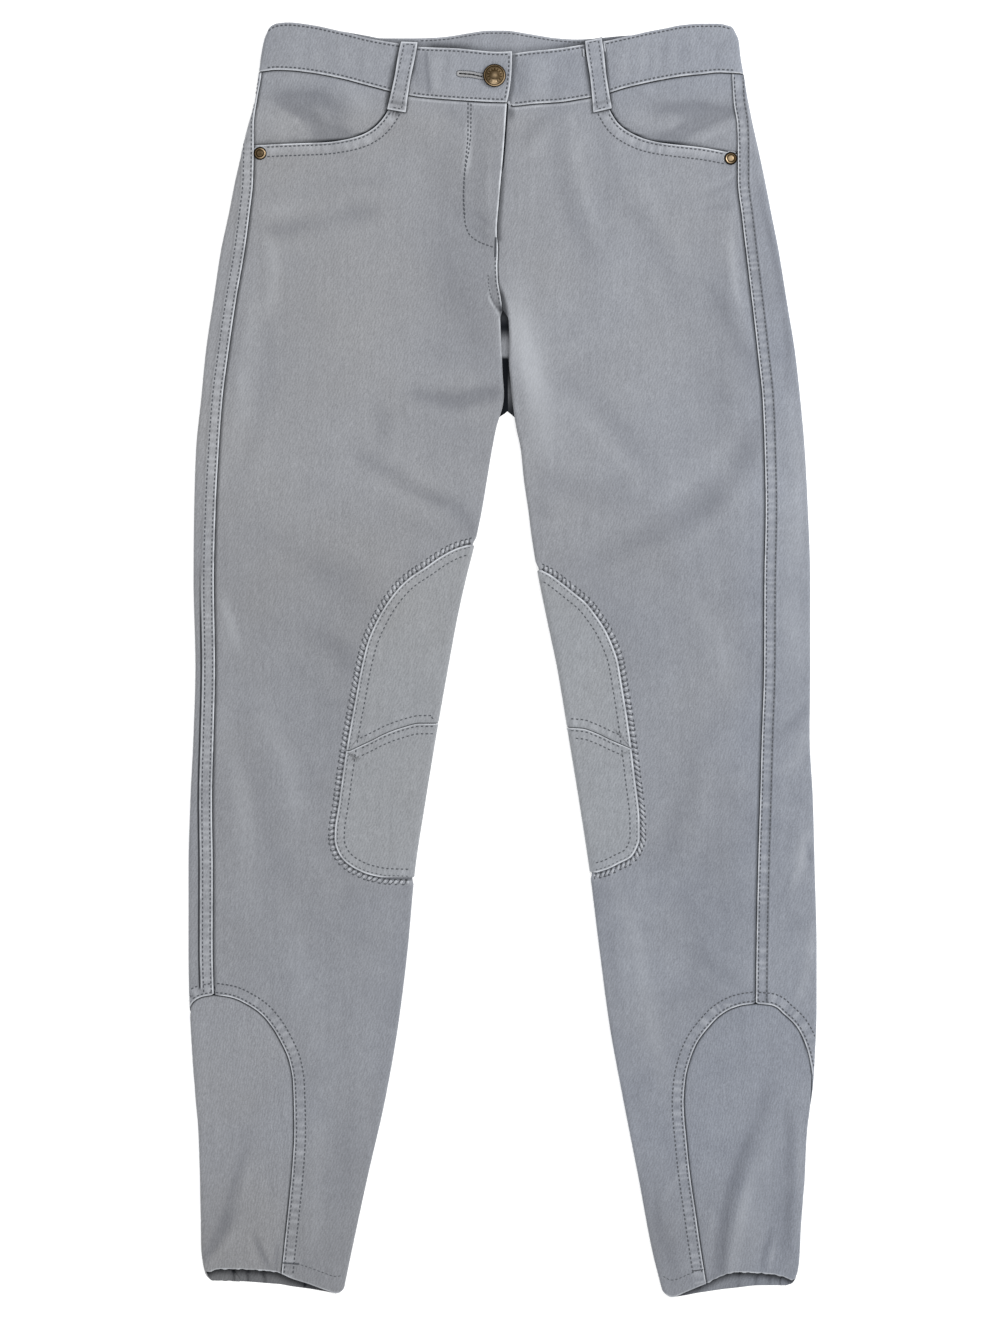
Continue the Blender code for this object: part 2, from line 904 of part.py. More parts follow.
def band_point(segment, f, v):
    """A point of the waistband. Segments: right top, right fold, back, left fold, left top."""
    if segment in ("right", "left"):
        edges, sign = (RIGHT_BAND, -1) if segment == "right" else (LEFT_BAND, 1)
        side = RIGHT if segment == "right" else LEFT
        end = OVERLAP_END if segment == "right" else UNDERLAP_END
        x, y = end, 480.0
        for _ in range(8):
            x = blend(end, sign * (side.outer(y) - BAND_LOFT / 2), f)
            y = blend(edges["bottom"](x), edges["top"](x), v)
        if segment == "right":
            level = OVERLAP_RISE * ease(x, UNDERLAP_END - LAP_EASE, UNDERLAP_END)
        else:
            level = -UNDERLAP_SINK * (1 - ease(x, OVERLAP_END + 2, OVERLAP_END + LAP_EASE))
        return np.array((x, y, BAND_TOP + level)), np.array((0, 0, 1.0))
    if segment == "back":
        y = 480.0
        for _ in range(8):
            low = -(RIGHT.outer(y) - BAND_LOFT / 2)
            x = blend(low, LEFT.outer(y) - BAND_LOFT / 2, f)
            y = blend(BACK_BAND["bottom"](x), BACK_BAND["top"](x), v)
        return np.array((x, y, BAND_WALL / 2)), np.array((0, 0, -1.0))
    side, edges = (RIGHT, RIGHT_BAND) if segment == "right fold" else (LEFT, LEFT_BAND)
    corner = side.sign * 192
    y = blend(edges["bottom"](corner), edges["top"](corner), v)
    angle = math.pi * (f if segment == "right fold" else 1 - f)
    out = np.array((side.sign * math.sin(angle), 0, math.cos(angle)))
    start = np.array((side.sign * (side.outer(y) - BAND_LOFT / 2), y, BAND_LOFT / 2))
    return start + out * BAND_FOLD, out


BAND_LEVELS = (0.0, 0.28, 0.47, 0.6, 0.8, 1.0)
HOLE_LEVELS = (2, 3)


def hole_height(x, upper):
    """Height of the buttonhole's edge at x."""
    middle = blend(BUTTON_Y, BUTTON_Y + 1.8, (BUTTON_X - x) / (BUTTON_X - HOLE_START))
    eye = 1 - ease(abs(x - BUTTON_X), SHANK_RADIUS, SHANK_RADIUS + 4.5)
    half_height = blend(HOLE_SLIT, HOLE_EYE, eye)
    return middle + (half_height if upper else -half_height)


def add_waistband():
    hole_marks = (HOLE_START, -24.0, -15.0, -11.5, -9.0, BUTTON_X, HOLE_END)
    length = OVERLAP_END + RIGHT.outer(480) - BAND_LOFT / 2
    right_shares = [0.0] + [(OVERLAP_END - x) / length for x in reversed(hole_marks)]
    right_shares += list(np.linspace(right_shares[-1], 1.0, 10)[1:])
    route = [("right", f) for f in right_shares]
    route += [("right fold", f) for f in np.linspace(0, 1, 5)[1:]]
    route += [("back", f) for f in np.linspace(0, 1, 17)[1:-1]]
    route += [("left fold", f) for f in np.linspace(0, 1, 5)]
    length = LEFT.outer(480) - BAND_LOFT / 2 - UNDERLAP_END
    route += [("left", f) for f in np.linspace(1, 24 / length, 12)[1:]]
    route += [("left", (x - UNDERLAP_END) / length) for x in (3.5, -6.0, UNDERLAP_END)]
    points, outward = [], []
    for row, level in enumerate(BAND_LEVELS):
        found = [band_point(segment, f, level) for segment, f in route]
        if row in HOLE_LEVELS:
            for column in range(1, 1 + len(hole_marks)):
                x = sorted(hole_marks, reverse=True)[column - 1]
                point = found[column][0]
                point[0], point[1] = x, hole_height(x, upper=row == HOLE_LEVELS[1])
        points.append([p for p, _ in found])
        outward.append([n for _, n in found])
    cells = {(HOLE_LEVELS[0], 1 + c) for c in range(len(hole_marks) - 1)}
    add_cloth("waistband", points, outward, BAND_WALL, TWILL, cells)


def add_band_facing():
    """The inside of the back's waistband, which shows above the front."""
    columns = 22
    points, outward = [], []
    for level in (0.06, 0.5, 0.985):
        row = []
        for column in range(columns + 1):
            f = blend(0.03, 0.97, column / columns)
            point = band_point("back", f, level)[0]
            point[2] = BAND_WALL + GAP + FACING_WALL / 2
            row.append(point)
        points.append(row)
        outward.append([np.array((0, 0, 1.0))] * (columns + 1))
    add_cloth("waistband_facing", points, outward, FACING_WALL, TWILL)


def add_belt_loop(half, top_x, foot_x, top_y, foot_y, width):
    """A strip over the waistband, from just over its top edge to a foot below its seam."""
    seam_y = half.band["bottom"](half.sign * (top_x + foot_x) / 2)
    # share of the way down, height of the middle over the waistband's outer face
    rest = LOOP_WALL / 2 + GAP
    on_panel = LOFT - BAND_LOFT
    profile = (
        (0.0, rest),
        (0.12, rest + 0.3 * LOOP_BOW),
        (0.3, rest + LOOP_BOW),
        (0.5, rest + LOOP_BOW),
        ((top_y - seam_y) / (top_y - foot_y), rest + 0.35 * LOOP_BOW),
        (0.88, rest + on_panel + 0.25),
        (1.0, rest + on_panel),
    )
    points, outward = [], []
    for share, level in profile:
        middle = blend(top_x, foot_x, share)
        flare = 0.5 * width * (1 + 0.1 * ease(share, 0.8, 1.0))
        row = []
        for across in (-1, 0, 1):
            crown = 0.15 * (1 - abs(across))
            y = blend(top_y, foot_y, share) + 0.8 * across * half.sign
            row.append(
                np.array((half.sign * (middle + across * flare), y, BAND_LOFT + level + crown))
            )
        points.append(row)
        outward.append([np.array((0, 0, 1.0))] * 3)
    add_cloth("belt_loop_" + half.name, points, outward, LOOP_WALL, TWILL)


def add_turned(name, x, y, profile, sides, colour):
    """A solid turned about a vertical line, from (radius, height) points, bottom to top."""
    vertices = [(x, y, profile[0][1])]
    for radius, z in profile:
        for i in range(sides):
            angle = 2 * math.pi * i / sides
            vertices.append((x + radius * math.cos(angle), y + radius * math.sin(angle), z))
    vertices.append((x, y, profile[-1][1]))
    faces = []
    for i in range(sides):
        j = (i + 1) % sides
        faces.append((0, 1 + j, 1 + i))
        for ring in range(len(profile) - 1):
            low, high = 1 + ring * sides, 1 + (ring + 1) * sides
            faces.append((low + i, low + j, high + j, high + i))
        last = 1 + (len(profile) - 1) * sides
        faces.append((last + i, last + j, len(vertices) - 1))
    add_object(name, vertices, faces, colour, roughness=0.42, metallic=1.0)


def add_button():
    base = BAND_LOFT + OVERLAP_RISE + GAP
    foot = BAND_LOFT - UNDERLAP_SINK + GAP
    r, h = BUTTON_RADIUS, BUTTON_HEIGHT
    profile = (
        (SHANK_RADIUS, foot),
        (SHANK_RADIUS, base),
        (0.86 * r, base),
        (r, base + 0.3 * h),
        (r, base + 0.6 * h),
        (0.93 * r, base + 0.8 * h),
        (0.8 * r, base + 0.72 * h),
        (0.55 * r, base + 0.86 * h),
        (0.28 * r, base + h),
    )
    add_turned("button", BUTTON_X, BUTTON_Y, profile, 24, ANTIQUE_BRASS)


def add_rivet(half, out, height):
    base = LOFT + GAP
    r, h = RIVET_RADIUS, RIVET_HEIGHT
    profile = (
        (0.92 * r, base),
        (r, base + 0.35 * h),
        (0.9 * r, base + 0.75 * h),
        (0.62 * r, base + 0.7 * h),
        (0.52 * r, base + h),
        (0.25 * r, base + 1.15 * h),
    )
    add_turned("rivet_" + half.name, half.sign * out, height, profile, 16, ANTIQUE_BRASS)


RIGHT = Half(
    "right",
    -1,
    RIGHT_SIDE,
    RIGHT_INNER,
    RIGHT_ANKLE,
    RIGHT_MOUTH,
    RIGHT_HEM,
    RIGHT_PATCH,
    RIGHT_KNEE_SEAM,
    RIGHT_BAND,
)
RIGHT.arch_top, RIGHT.arch_rows = -268.0, (-270.0, -273.0, -277.5)
RIGHT.patch_top, RIGHT.patch_bottom = 93.0, -175.0
LEFT = Half(
    "left",
    1,
    LEFT_SIDE,
    LEFT_INNER,
    LEFT_ANKLE,
    LEFT_MOUTH,
    LEFT_HEM,
    LEFT_PATCH,
    LEFT_KNEE_SEAM,
    LEFT_BAND,
)
LEFT.arch_top, LEFT.arch_rows = -275.0, (-276.6, -278.8)
LEFT.patch_top, LEFT.patch_bottom = 73.0, -171.0


def main():
    for old in list(bpy.data.objects):
        bpy.data.objects.remove(old, do_unlink=True)
    for half in (RIGHT, LEFT):
        add_front(half)
        add_back(half)
        add_insert(half)
        add_patches(half)
    add_pocket_facing(RIGHT, inner_end=88.5)
    add_pocket_facing(LEFT, inner_end=81.5)
    add_waistband()
    add_band_facing()
    add_belt_loop(RIGHT, top_x=74, foot_x=84.5, top_y=494.5, foot_y=438.5, width=13.5)
    add_belt_loop(LEFT, top_x=74, foot_x=80.5, top_y=496.5, foot_y=440, width=13.5)
    add_button()
    add_rivet(RIGHT, 193.5, 405)
    add_rivet(LEFT, 183, 401)


main()
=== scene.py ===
"""Looks of a pair of riding breeches laid flat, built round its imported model.

The file is laid out as a Blender add-on and is run as a script. Lengths in the tables and
constants are millimetres. A half's x values are measured outwards from the centre line, and
points are turned into the frame by the half's sign. Each cut piece of cloth is a fine shell on
its own solid's form, with creases, lapped edges and sewing that the solids leave out.
"""

import json
import math
from functools import partial, reduce

import bpy
import numpy as np
from bpy.props import FloatProperty, FloatVectorProperty, PointerProperty
from bpy.types import Operator, Panel, PropertyGroup
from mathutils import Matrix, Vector
from mathutils.bvhtree import BVHTree

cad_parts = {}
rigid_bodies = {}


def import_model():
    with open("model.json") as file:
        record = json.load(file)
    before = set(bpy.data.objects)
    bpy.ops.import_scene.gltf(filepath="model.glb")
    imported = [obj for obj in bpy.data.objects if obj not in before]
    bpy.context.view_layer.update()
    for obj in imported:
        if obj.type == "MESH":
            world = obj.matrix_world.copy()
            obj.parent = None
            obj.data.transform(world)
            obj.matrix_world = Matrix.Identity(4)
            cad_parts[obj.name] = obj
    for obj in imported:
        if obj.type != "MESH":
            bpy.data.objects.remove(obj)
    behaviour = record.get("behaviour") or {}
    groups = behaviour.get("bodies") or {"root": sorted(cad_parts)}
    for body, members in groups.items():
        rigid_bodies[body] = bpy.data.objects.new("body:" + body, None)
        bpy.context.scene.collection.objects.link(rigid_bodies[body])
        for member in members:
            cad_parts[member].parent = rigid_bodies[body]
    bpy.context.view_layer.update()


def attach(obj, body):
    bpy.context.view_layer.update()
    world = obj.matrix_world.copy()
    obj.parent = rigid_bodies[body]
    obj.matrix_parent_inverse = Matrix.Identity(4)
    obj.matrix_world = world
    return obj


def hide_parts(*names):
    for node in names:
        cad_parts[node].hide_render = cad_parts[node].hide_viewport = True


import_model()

bl_info = {
    "name": "Riding Breeches",
    "version": (1, 0, 0),
    "blender": (4, 5, 0),
    "location": "3D View > Sidebar > Breeches",
    "description": "Builds the cloth, sewing and hardware of riding breeches laid flat",
    "category": "Object",
}

MM = 0.001

# Layers of the flattened leg, as in the solids
WALL = 1.2
LOFT = 5.6
FOLD = (LOFT - WALL) / 2
TOP = LOFT - WALL / 2
GAP = 0.3
CURVED_GAP = 0.6
PATCH_WALL = 1.0
PATCH_GAP = 0.5
PATCH_STAND = PATCH_GAP + PATCH_WALL
PATCH_EASE = 5.0
PATCH_FOLD = 122.0
LAP_RISE = 0.9
LAP_WIDTH = 9.0
FLY_RISE = 0.7
FLY_WIDTH = 12.0
FLY_END = 342.0
EDGE_STRIP = 6.0
INSERT_SINK = 0.5

# Waistband
BAND_WALL = 1.6
BAND_LOFT = 6.0
BAND_FOLD = (BAND_LOFT - BAND_WALL) / 2
BAND_TOP = BAND_LOFT - BAND_WALL / 2
BAND_DEPTH = 39.0
FACING_WALL = 1.0
OVERLAP_RISE = 0.7
UNDERLAP_SINK = 1.2
OVERLAP_END = 8.0
UNDERLAP_END = -16.0
LAP_EASE = 16.0
HOLE_START, HOLE_END = -34.0, -3.3
HOLE_SLIT = 0.8
HOLE_EYE = 2.7
HOLE_LEVELS = (0.47, 0.6)
BUTTON_X, BUTTON_Y = -6.0, 467.0
BUTTON_RADIUS, BUTTON_HEIGHT = 9.2, 3.0
SHANK_RADIUS = 2.2
RIVET_RADIUS, RIVET_HEIGHT = 4.7, 1.5
RIVETS = {"right": (-193.5, 405), "left": (183, 401)}
LOOP_WALL = 1.2
LOOP_BOW = 0.7
LOOPS = {
    "right": {
        "top_x": 74, "foot_x": 84.5, "top_y": 494.5, "foot_y": 438.5, "width": 13.5,
        "top_tilt": 0.3, "foot_tilt": 1.4,
    },
    "left": {
        "top_x": 73, "foot_x": 80.5, "top_y": 496.5, "foot_y": 438.8, "width": 13.5,
        "top_tilt": 1.4, "foot_tilt": 1.8,
    },
}
HEM_CORNER = 3.8

# What runs on out of sight under a lapped edge
UNDER = 5.0  # how far the under piece goes on
UNDER_SINK = 0.6  # a front under the back's lapped side seam
INSERT_UNDER_SINK = 1.35  # an ankle insert under the panels
FACING_UNDER = 8.0
FACING_SINK = 1.5

# Sewing, measured inwards from a lapped edge
NEAR_ROW = 2.1
FAR_ROW = 9.3
PATCH_ROW = 7.6
BAND_ROW = 2.3
LOOP_ROW = 2.7
OVERLAP_CURL = 4.2  # how far the overlapping end turns back towards its lower corner
ZIGZAG_NEAR, ZIGZAG_FAR = 1.1, 4.9
ZIGZAG_PITCH = 4.35
PUCKER_PITCH = 7.2

# Distances from an edge to the grid's first lines, so that the turned edge comes out round
EDGE_LINES = (0.0, 0.12, 0.3, 0.6, 1.0, 1.5, 2.1, 3.0, 4.2, 5.8, 7.6, 9.4)
HEM_LINES = (*EDGE_LINES, 12.5, 16, 20, 24, 28, 32)
CLOSE_LINED = 12.0  # width of the strip with close lines beside a panel's lapped edge

# How often a height is worked out again that depends on where its own edge lies
ROUNDS = 8

# Values at each point of a cloth that its material reads: pale lines (wear, partly a painted
# highlight), dark lines (painted shade, with some dirt beside lapped edges), the strip between
# two rows of stitching, the distance along it, and troughs and ridges (painted shade and
# painted highlight)
MARKS = ("pale", "dark", "strip", "run", "fold")


def through(places, values):
    """A curve through a table's points that never overshoots them (monotone cubic)."""
    order = np.argsort(places)
    x = np.array(places, float)[order]
    y = np.array(values, float)[order]
    step = np.diff(x)
    rise = np.diff(y) / step
    same_way = rise[:-1] * rise[1:] > 0
    near, far = 2 * step[1:] + step[:-1], step[1:] + 2 * step[:-1]
    before, after = np.where(same_way, rise[:-1], 1), np.where(same_way, rise[1:], 1)
    middle = np.where(same_way, (near + far) / (near / before + far / after), 0)
    slope = np.concatenate((rise[:1], middle, rise[-1:]))

    def at(place):
        place = np.clip(place, x[0], x[-1])
        i = np.clip(np.searchsorted(x, place) - 1, 0, len(step) - 1)
        f = (place - x[i]) / step[i]
        bend = step[i] * ((1 - f) * slope[i] - f * slope[i + 1])
        level = y[i] * (1 - f) ** 2 * (1 + 2 * f) + y[i + 1] * f**2 * (3 - 2 * f)
        return level + f * (1 - f) * bend

    return at


def numbers(text):
    """Rows of numbers from a text with commas between its rows."""
    return [[float(value) for value in row.split()] for row in text.split(",")]


def table(columns, text):
    """One curve per named column, each over the first column."""
    data = np.array(numbers(text))
    names = columns.split()
    return {name: through(data[:, 0], data[:, i]) for i, name in enumerate(names) if i}


def blend(a, b, f):
    return a + (b - a) * f


def ease(value, start, end):
    """0 before start, 1 after end, smooth between."""
    f = np.clip((value - start) / (end - start), 0.0, 1.0)
    return f * f * (3 - 2 * f)


def window(value, start, full, fade, end):
    """1 between full and fade, 0 before start and after end, smooth between."""
    return ease(value, start, full) * (1 - ease(value, fade, end))


# Outlines of the right half
RIGHT_SIDE = table("height outer seam", """
    505 187 187, 496 190.5 189.5, 483 193 191.5, 471 194.5 192, 448 197.5 195.5, 428 203 198.5,
    408 208 198.5, 384 213.5 199, 356 219 202, 328 225 205.7, 288 231 212.6, 248 237 218.5,
    208 241 223.6, 168 245 226.5, 120 246.5 229, 64 247 230.4, -6 245.5 229.5, -60 247 230.6,
    -112 249.5 231.9, -168 251 231.3, -232 251 231.4, -268 250.5 230.5, -320 248 229,
    -352 245.5 228, -384 243 227, -448 241.5 226, -472 241 226, -487 239 225, -496 236 224
""")
RIGHT_INNER = table("height inner", """
    277 1.5, 264 1, 246 0.2, 227 -0.7, 213 -1.6, 204 -0.8, 195 1.8, 188 4, 168 8, 144 12, 120 16,
    96 21, 64 29, 32 36, -6 43, -60 52.5, -112 61, -168 69.5, -232 75.5, -292 83, -352 93.5,
    -416 108, -472 120, -506 127
""")
RIGHT_ANKLE = table("height front back", """
    -268 230.5 230.5, -270 217.5 241, -275 205.5 248, -283 193.5 252, -292 185.5 255,
    -306 177 259, -321 170.5 262.5, -338 167.5 265, -378 166.5 264, -406 168 262, -433 170.5 260,
    -461 173.5 259, -505 178 258
""")
RIGHT_MOUTH = table("out height", """
    60 453.2, 84 453, 92 438, 97 431, 104 424.5, 113.5 419.5, 125.5 416.4, 141 414.3, 160 413.4,
    177 412.7, 200 411.6
""")
RIGHT_HEM = table("out front back", """
    125.5 -505 -505, 132.5 -507 -507.5, 142 -504.2 -506, 155 -499.4 -503.8, 168.5 -495.1 -502,
    178 -490.9 -500.3, 184 -489.7 -499.8, 214 -487.7 -497.8, 227.5 -487.8 -497.6,
    234 -490 -497.2, 238 -491.6 -495.8
""")
RIGHT_PATCH = table("height edge", """
    93 21.5, 90 33.5, 83 48, 74 61, 65 74.5, 55 84.5, 41 94.5, 28 101.5, 15 107, 0 111, -31 117,
    -76 125, -119 131, -135 133.5, -144 133.8, -148 133.1, -152 131.8, -156 129.9, -161 126,
    -164.2 122, -166.8 118, -168.8 114, -170.6 110, -172 105.5, -173.4 99.5, -174.5 93, -175 80
""")
RIGHT_KNEE_SEAM = table("out height", "46 -51, 66 -51, 79 -54, 93 -59, 105 -65, 122 -73")

# Outlines of the left half
LEFT_SIDE = table("height outer seam", """
    505 185.5 184, 496 189.5 184, 483 191 184, 471 193 184, 448 197 185, 428 201 188,
    408 205.5 188.5, 384 210.5 188.5, 356 216 191.7, 328 221.5 195, 288 228 199.8,
    248 234.5 204.3, 208 239 208.4, 168 242.5 210, 120 245 210.8, 64 247 209.8, -6 247 209.5,
    -60 246.5 207.8, -112 249 206.4, -168 250.5 204.7, -232 252 203.5, -275 252 203,
    -320 250.5 202, -352 248 201, -384 244 200, -416 242.5 200, -448 240 200, -487 237.5 200,
    -496 235 200
""")
LEFT_INNER = table("height inner", """
    277 5, 257 5.8, 239 5.5, 223 6.8, 210 8, 196 9.8, 188 11, 168 15, 144 17.5, 120 21, 96 24,
    64 29.5, 32 36, -6 44, -60 53, -112 61.5, -168 70, -232 78, -292 86, -352 97, -416 109.5,
    -472 120, -508 129
""")
LEFT_ANKLE = table("height front back", """
    -275 203 203, -276.5 192 216, -283 177 225, -294 165.5 236, -307 156 242.5, -319 151 246,
    -335 147 248.3, -354 145.5 248.9, -387 148 247.5, -415 151 246, -439 154.5 245.5,
    -477 160 244, -508 165 243
""")
LEFT_MOUTH = table("out height", """
    60 451.2, 78 451, 85 442, 88 436.3, 93.5 428.5, 102.5 422, 115 416.6, 130.5 413.4, 145 411.7,
    160 410, 176 407.1, 190 404.2
""")
LEFT_HEM = table("out front back", """
    127 -505.5 -505.5, 136 -510 -510.5, 148 -505.6 -509, 156 -502.2 -507.4, 164 -499 -506.2,
    178.5 -492.3 -504.1, 187 -490.2 -503.2, 207 -491.1 -501.2, 217.5 -492.1 -501.2,
    226.5 -494.3 -501.1, 232 -496.6 -500, 237 -497.5 -498.8
""")
LEFT_PATCH = table("height edge", """
    73 28.5, 68 38.5, 61 48, 53 58, 45 67.5, 36 74.5, 24 82.5, 12 88, -1 92.5, -15 95, -53 101,
    -93 106, -132 110, -143 110, -151 107.5, -158 103, -163 93.5, -168 83, -171 72
""")
LEFT_KNEE_SEAM = table("out height", "46 -54, 64 -55, 76 -59, 86.5 -64, 103 -71")

# Centre lines, as x in the frame
CENTRE_FRONT = table("height x", """
    445 4, 409 1.5, 370 -2, 342 -4, 328 -3, 315 -3.5, 303 -3, 291 -1, 277 1
""")
CENTRE_BACK = table("height x", "463 3, 199 4.8")
BACK_POINT = 199.0
BACK_FLANK = 194.5
INSEAM_TOP = 188.0
SLOT_TOP = 276.0  # end of the slot between the thighs
FRONT_SEAM_FOOT = 283.0

# Waistband edges, as height over x in the frame
RIGHT_BAND = table("x top bottom", """
    -194 503 470.4, -187.5 504.5 471.3, -184.5 507.2 471.7, -181 509 472, -171 510 471.7,
    -153 508 469.8, -129.5 503 465.4, -105.5 497 459.1, -82.5 493 453.2, -65.5 490.3 450.3,
    -38.5 489.3 448, -2.5 486.3 446, 8 486.8 445.8
""")
LEFT_BAND = table("x top bottom", """
    -16 484 449, 3.5 484.6 447.2, 8 485.2 443.2, 26.5 487.3 444.9, 45 489.1 446.1,
    62.5 491.8 448.7, 83 495 452.8, 97.5 498.3 457.4, 109 500.8 460.2, 116 502.4 461.8,
    130.5 505.2 464.7, 145 508 467.1, 160 509 468.6, 173.5 509 469.9, 182.5 507 469.5,
    194 504 468.7
""")
BACK_BAND = table("x top bottom", """
    -194 505 471, -150 505 467.5, -134 504.2 467, -122 502.5 466.3, -109 500.2 465.7,
    -96 498 465, -70 498 464.2, -58 498.3 463.8, -45 499.2 463.4, -26 502.2 463, -10 504.2 463,
    2 504.2 463, 22 501.4 463, 45 497.9 463, 60 497.1 463.1, 72 497.6 463.4, 84 498.8 463.7,
    96 499.9 464, 115 501 464.6, 150 503 465.5, 194 504 468
""")
EDGE_TURN = table("height angle", "-520 180, 168 180, 187 112, 520 112")
EDGE_FOLDED = table("height folded", "-520 1, 273 1, 280 0, 520 0")

# Creases of the upper layer: width, depth (below 0 a trough), then x and height of each point
# in the frame
HIP_CREASES = numbers("""
    15 -1.5 -195 455 -174 449 -158 438 -147 425 -130 417,
    17 -1.5 -171 450 -146 451 -134 441 -131 425 -139 414,
    6.5 -1.3 -181 448 -164 440 -152 433 -144 425 -139 416, 8 -0.8 -160 451 -147 450 -137 445,
    7 0.5 -176 436 -163 431 -154 422, 11 -1.7 -154 417 -120 419,
    16 0.4 -192 432 -179 430 -170 421, 13 0.35 -126 460 -104 438, 5 -0.8 -192 413 -184 413,
    5 -0.6 -171 416 -163 416, 10 -1.3 117 444 150 441 190 438,
    13 -1.9 114 415 138 417 152 429 168 435 189 440, 11 0.8 150 417 168 421 184 430,
    7 -1.1 124 415 145 423 164 433 184 439, 8 -0.9 117 437 145 442 162 445,
    6 0.6 131 426 150 431.5 174 438, 15 0.35 104 440 114 425
""")
BROAD_CREASES = numbers("""
    70 -0.85 -26 425 -28 320 -26 230 -32 150, 66 -0.3 -165 395 -165 290 -150 200,
    66 -0.7 172 380 182 280 178 190 176 130, 64 -0.65 168 -120 168 -220 166 -320,
    40 -0.55 218 340 231 280 240 225, 36 -0.5 -224 -410 -228 -450 -234 -505,
    60 -0.4 105 436 150 430 195 428, 30 0.5 220 130 231 60 234 -50
""")
RIGHT_CREASES = numbers("""
    14 -1.1 -194 345 -176 344 -160 347, 17 -0.5 -172 345 -138 352 -100 357,
    17 -0.4 -146 352 -122 357 -88 363, 17 0.45 -195 358 -170 360 -134 365,
    12 0.9 -190 345 -184 328 -183 305 -186 278, 12 -0.45 -147 381 -118 382 -86 384,
    15 -0.25 -162 371 -126 369, 12 -0.55 -46 445 -38 435 -27 425, 18 0.3 -75 448 -62 430 -50 408,
    24 -0.4 -60 420 -47 368 -41 290, 12 -0.5 -21 440 -19 392 -21 368,
    4 -0.6 -29 365 -19 355 -6 345, 4 -0.4 -27 350 -18 341 -8 337, 5 0.5 -10 416 -11 384 -10 356,
    12 -1.6 -72 213 -50 209 -35 206 -19 212 8 215, 23 0.5 -70 227 -38 223 -2 226,
    15 0.3 -58 198 -32 193 -10 198, 12 -1 -118 165 -99 155 -80 145,
    13 -1 -88 142 -62 131 -42 125 -27 112 -16 89, 15 -0.6 -101 209 -96 192 -95 171,
    15 0.35 -112 145 -82 133 -56 120, 15 0.3 -94 166 -62 145 -38 136, 13 -0.35 -83 109 -50 99,
    17 0.45 -200 288 -206 232 -210 176, 15 -0.35 -184 272 -191 208 -202 164 -221 124,
    8 -0.5 -208 288 -215 248 -219 200, 17 -0.4 -208 109 -170 88, 24 -0.7 -162 83 -126 64 -118 36,
    22 -0.9 -154 22 -128 6 -117 -15, 6 -0.4 -147 -36 -120 -37, 12 0.7 -224 51 -217 30 -212 8,
    5 -0.5 -218 51 -211 33 -208 16, 18 0.45 -224 -24 -211 -80 -205 -144 -203 -196,
    17 0.35 -192 -32 -171 -88 -158 -152, 18 -0.5 -213 -56 -194 -112 -174 -176,
    20 -0.35 -141 -136 -125 -176 -115 -240, 20 0.25 -170 -192 -162 -256 -138 -336,
    18 -0.25 -122 -344 -128 -416 -134 -480, 15 0.25 -147 -360 -149 -432 -152 -476
""")
LEFT_CREASES = numbers("""
    26 1.3 4 314 11 288 20 252 27 208 40 160, 14 0.6 6 290 13 256 20 220,
    16 -0.8 47 392 56 358 70 321, 15 -0.5 46 438 44 408 50 371, 10 0.45 58 408 67 368 77 331,
    10 0.45 54 436 60 416 66 390, 10 -0.7 8 413 22 423 35 435 62 448,
    12 0.35 14 398 38 419 61 438, 12 -0.5 70 438 82 409 94 381,
    24 -0.6 72 386 110 357 130 318 148 270, 13 0.35 107 379 130 347 150 318,
    13 -0.3 107 318 118 278 128 240, 5 -0.5 158 370 174 376 190 384,
    5 -0.4 157 358 171 362 189 363, 5 0.5 162 376 176 382 190 392,
    10 1 185 364 183 336 186 297 197 252, 12 -0.7 165 302 182 264 208 225,
    8 -0.35 174 264 176 208, 24 -0.95 214 196 197 170 181 140 158 118 130 102 94 88,
    20 0.45 194 192 165 152 126 129, 18 0.45 210 166 190 128 158 101 126 83,
    20 -0.5 40 227 70 213 91 187 123 152, 18 0.35 51 209 77 179 107 147,
    24 -0.55 21 147 62 136 110 126, 13 -0.5 27 123 38 115, 17 -0.45 118 97 78 80 61 75,
    18 0.3 150 56 174 16 187 -32, 17 -0.55 158 -64 141 -128 123 -184,
    15 0.3 168 -88 158 -136 150 -176, 16 0.5 91 -178 107 -224 117 -280 133 -340,
    10 -0.7 74 -176 83 -216 91 -272, 12 -0.45 152 -232 176 -251 200 -267,
    10 0.3 163 -224 190 -247, 8 -0.8 214 -67 230 -53 248 -34, 12 0.5 219 -90 235 -82 245 -56,
    12 0.8 226 -189 237 -165 246 -133, 5 -0.6 222 -194 229 -176 235 -159,
    5 -0.9 244 -143 249 -168, 10 -0.5 229 -202 238 -221, 8 0.5 235 -275 245 -247 250 -208,
    6 -0.7 200 400 213 344 226 288 230 230, 12 0.4 206 337 216 296 222 253,
    15 0.45 230 208 238 152 237 80, 17 -1.1 120 -424 126 -464 138 -504,
    6 0.4 126 -445 134 -424 147 -403
""")
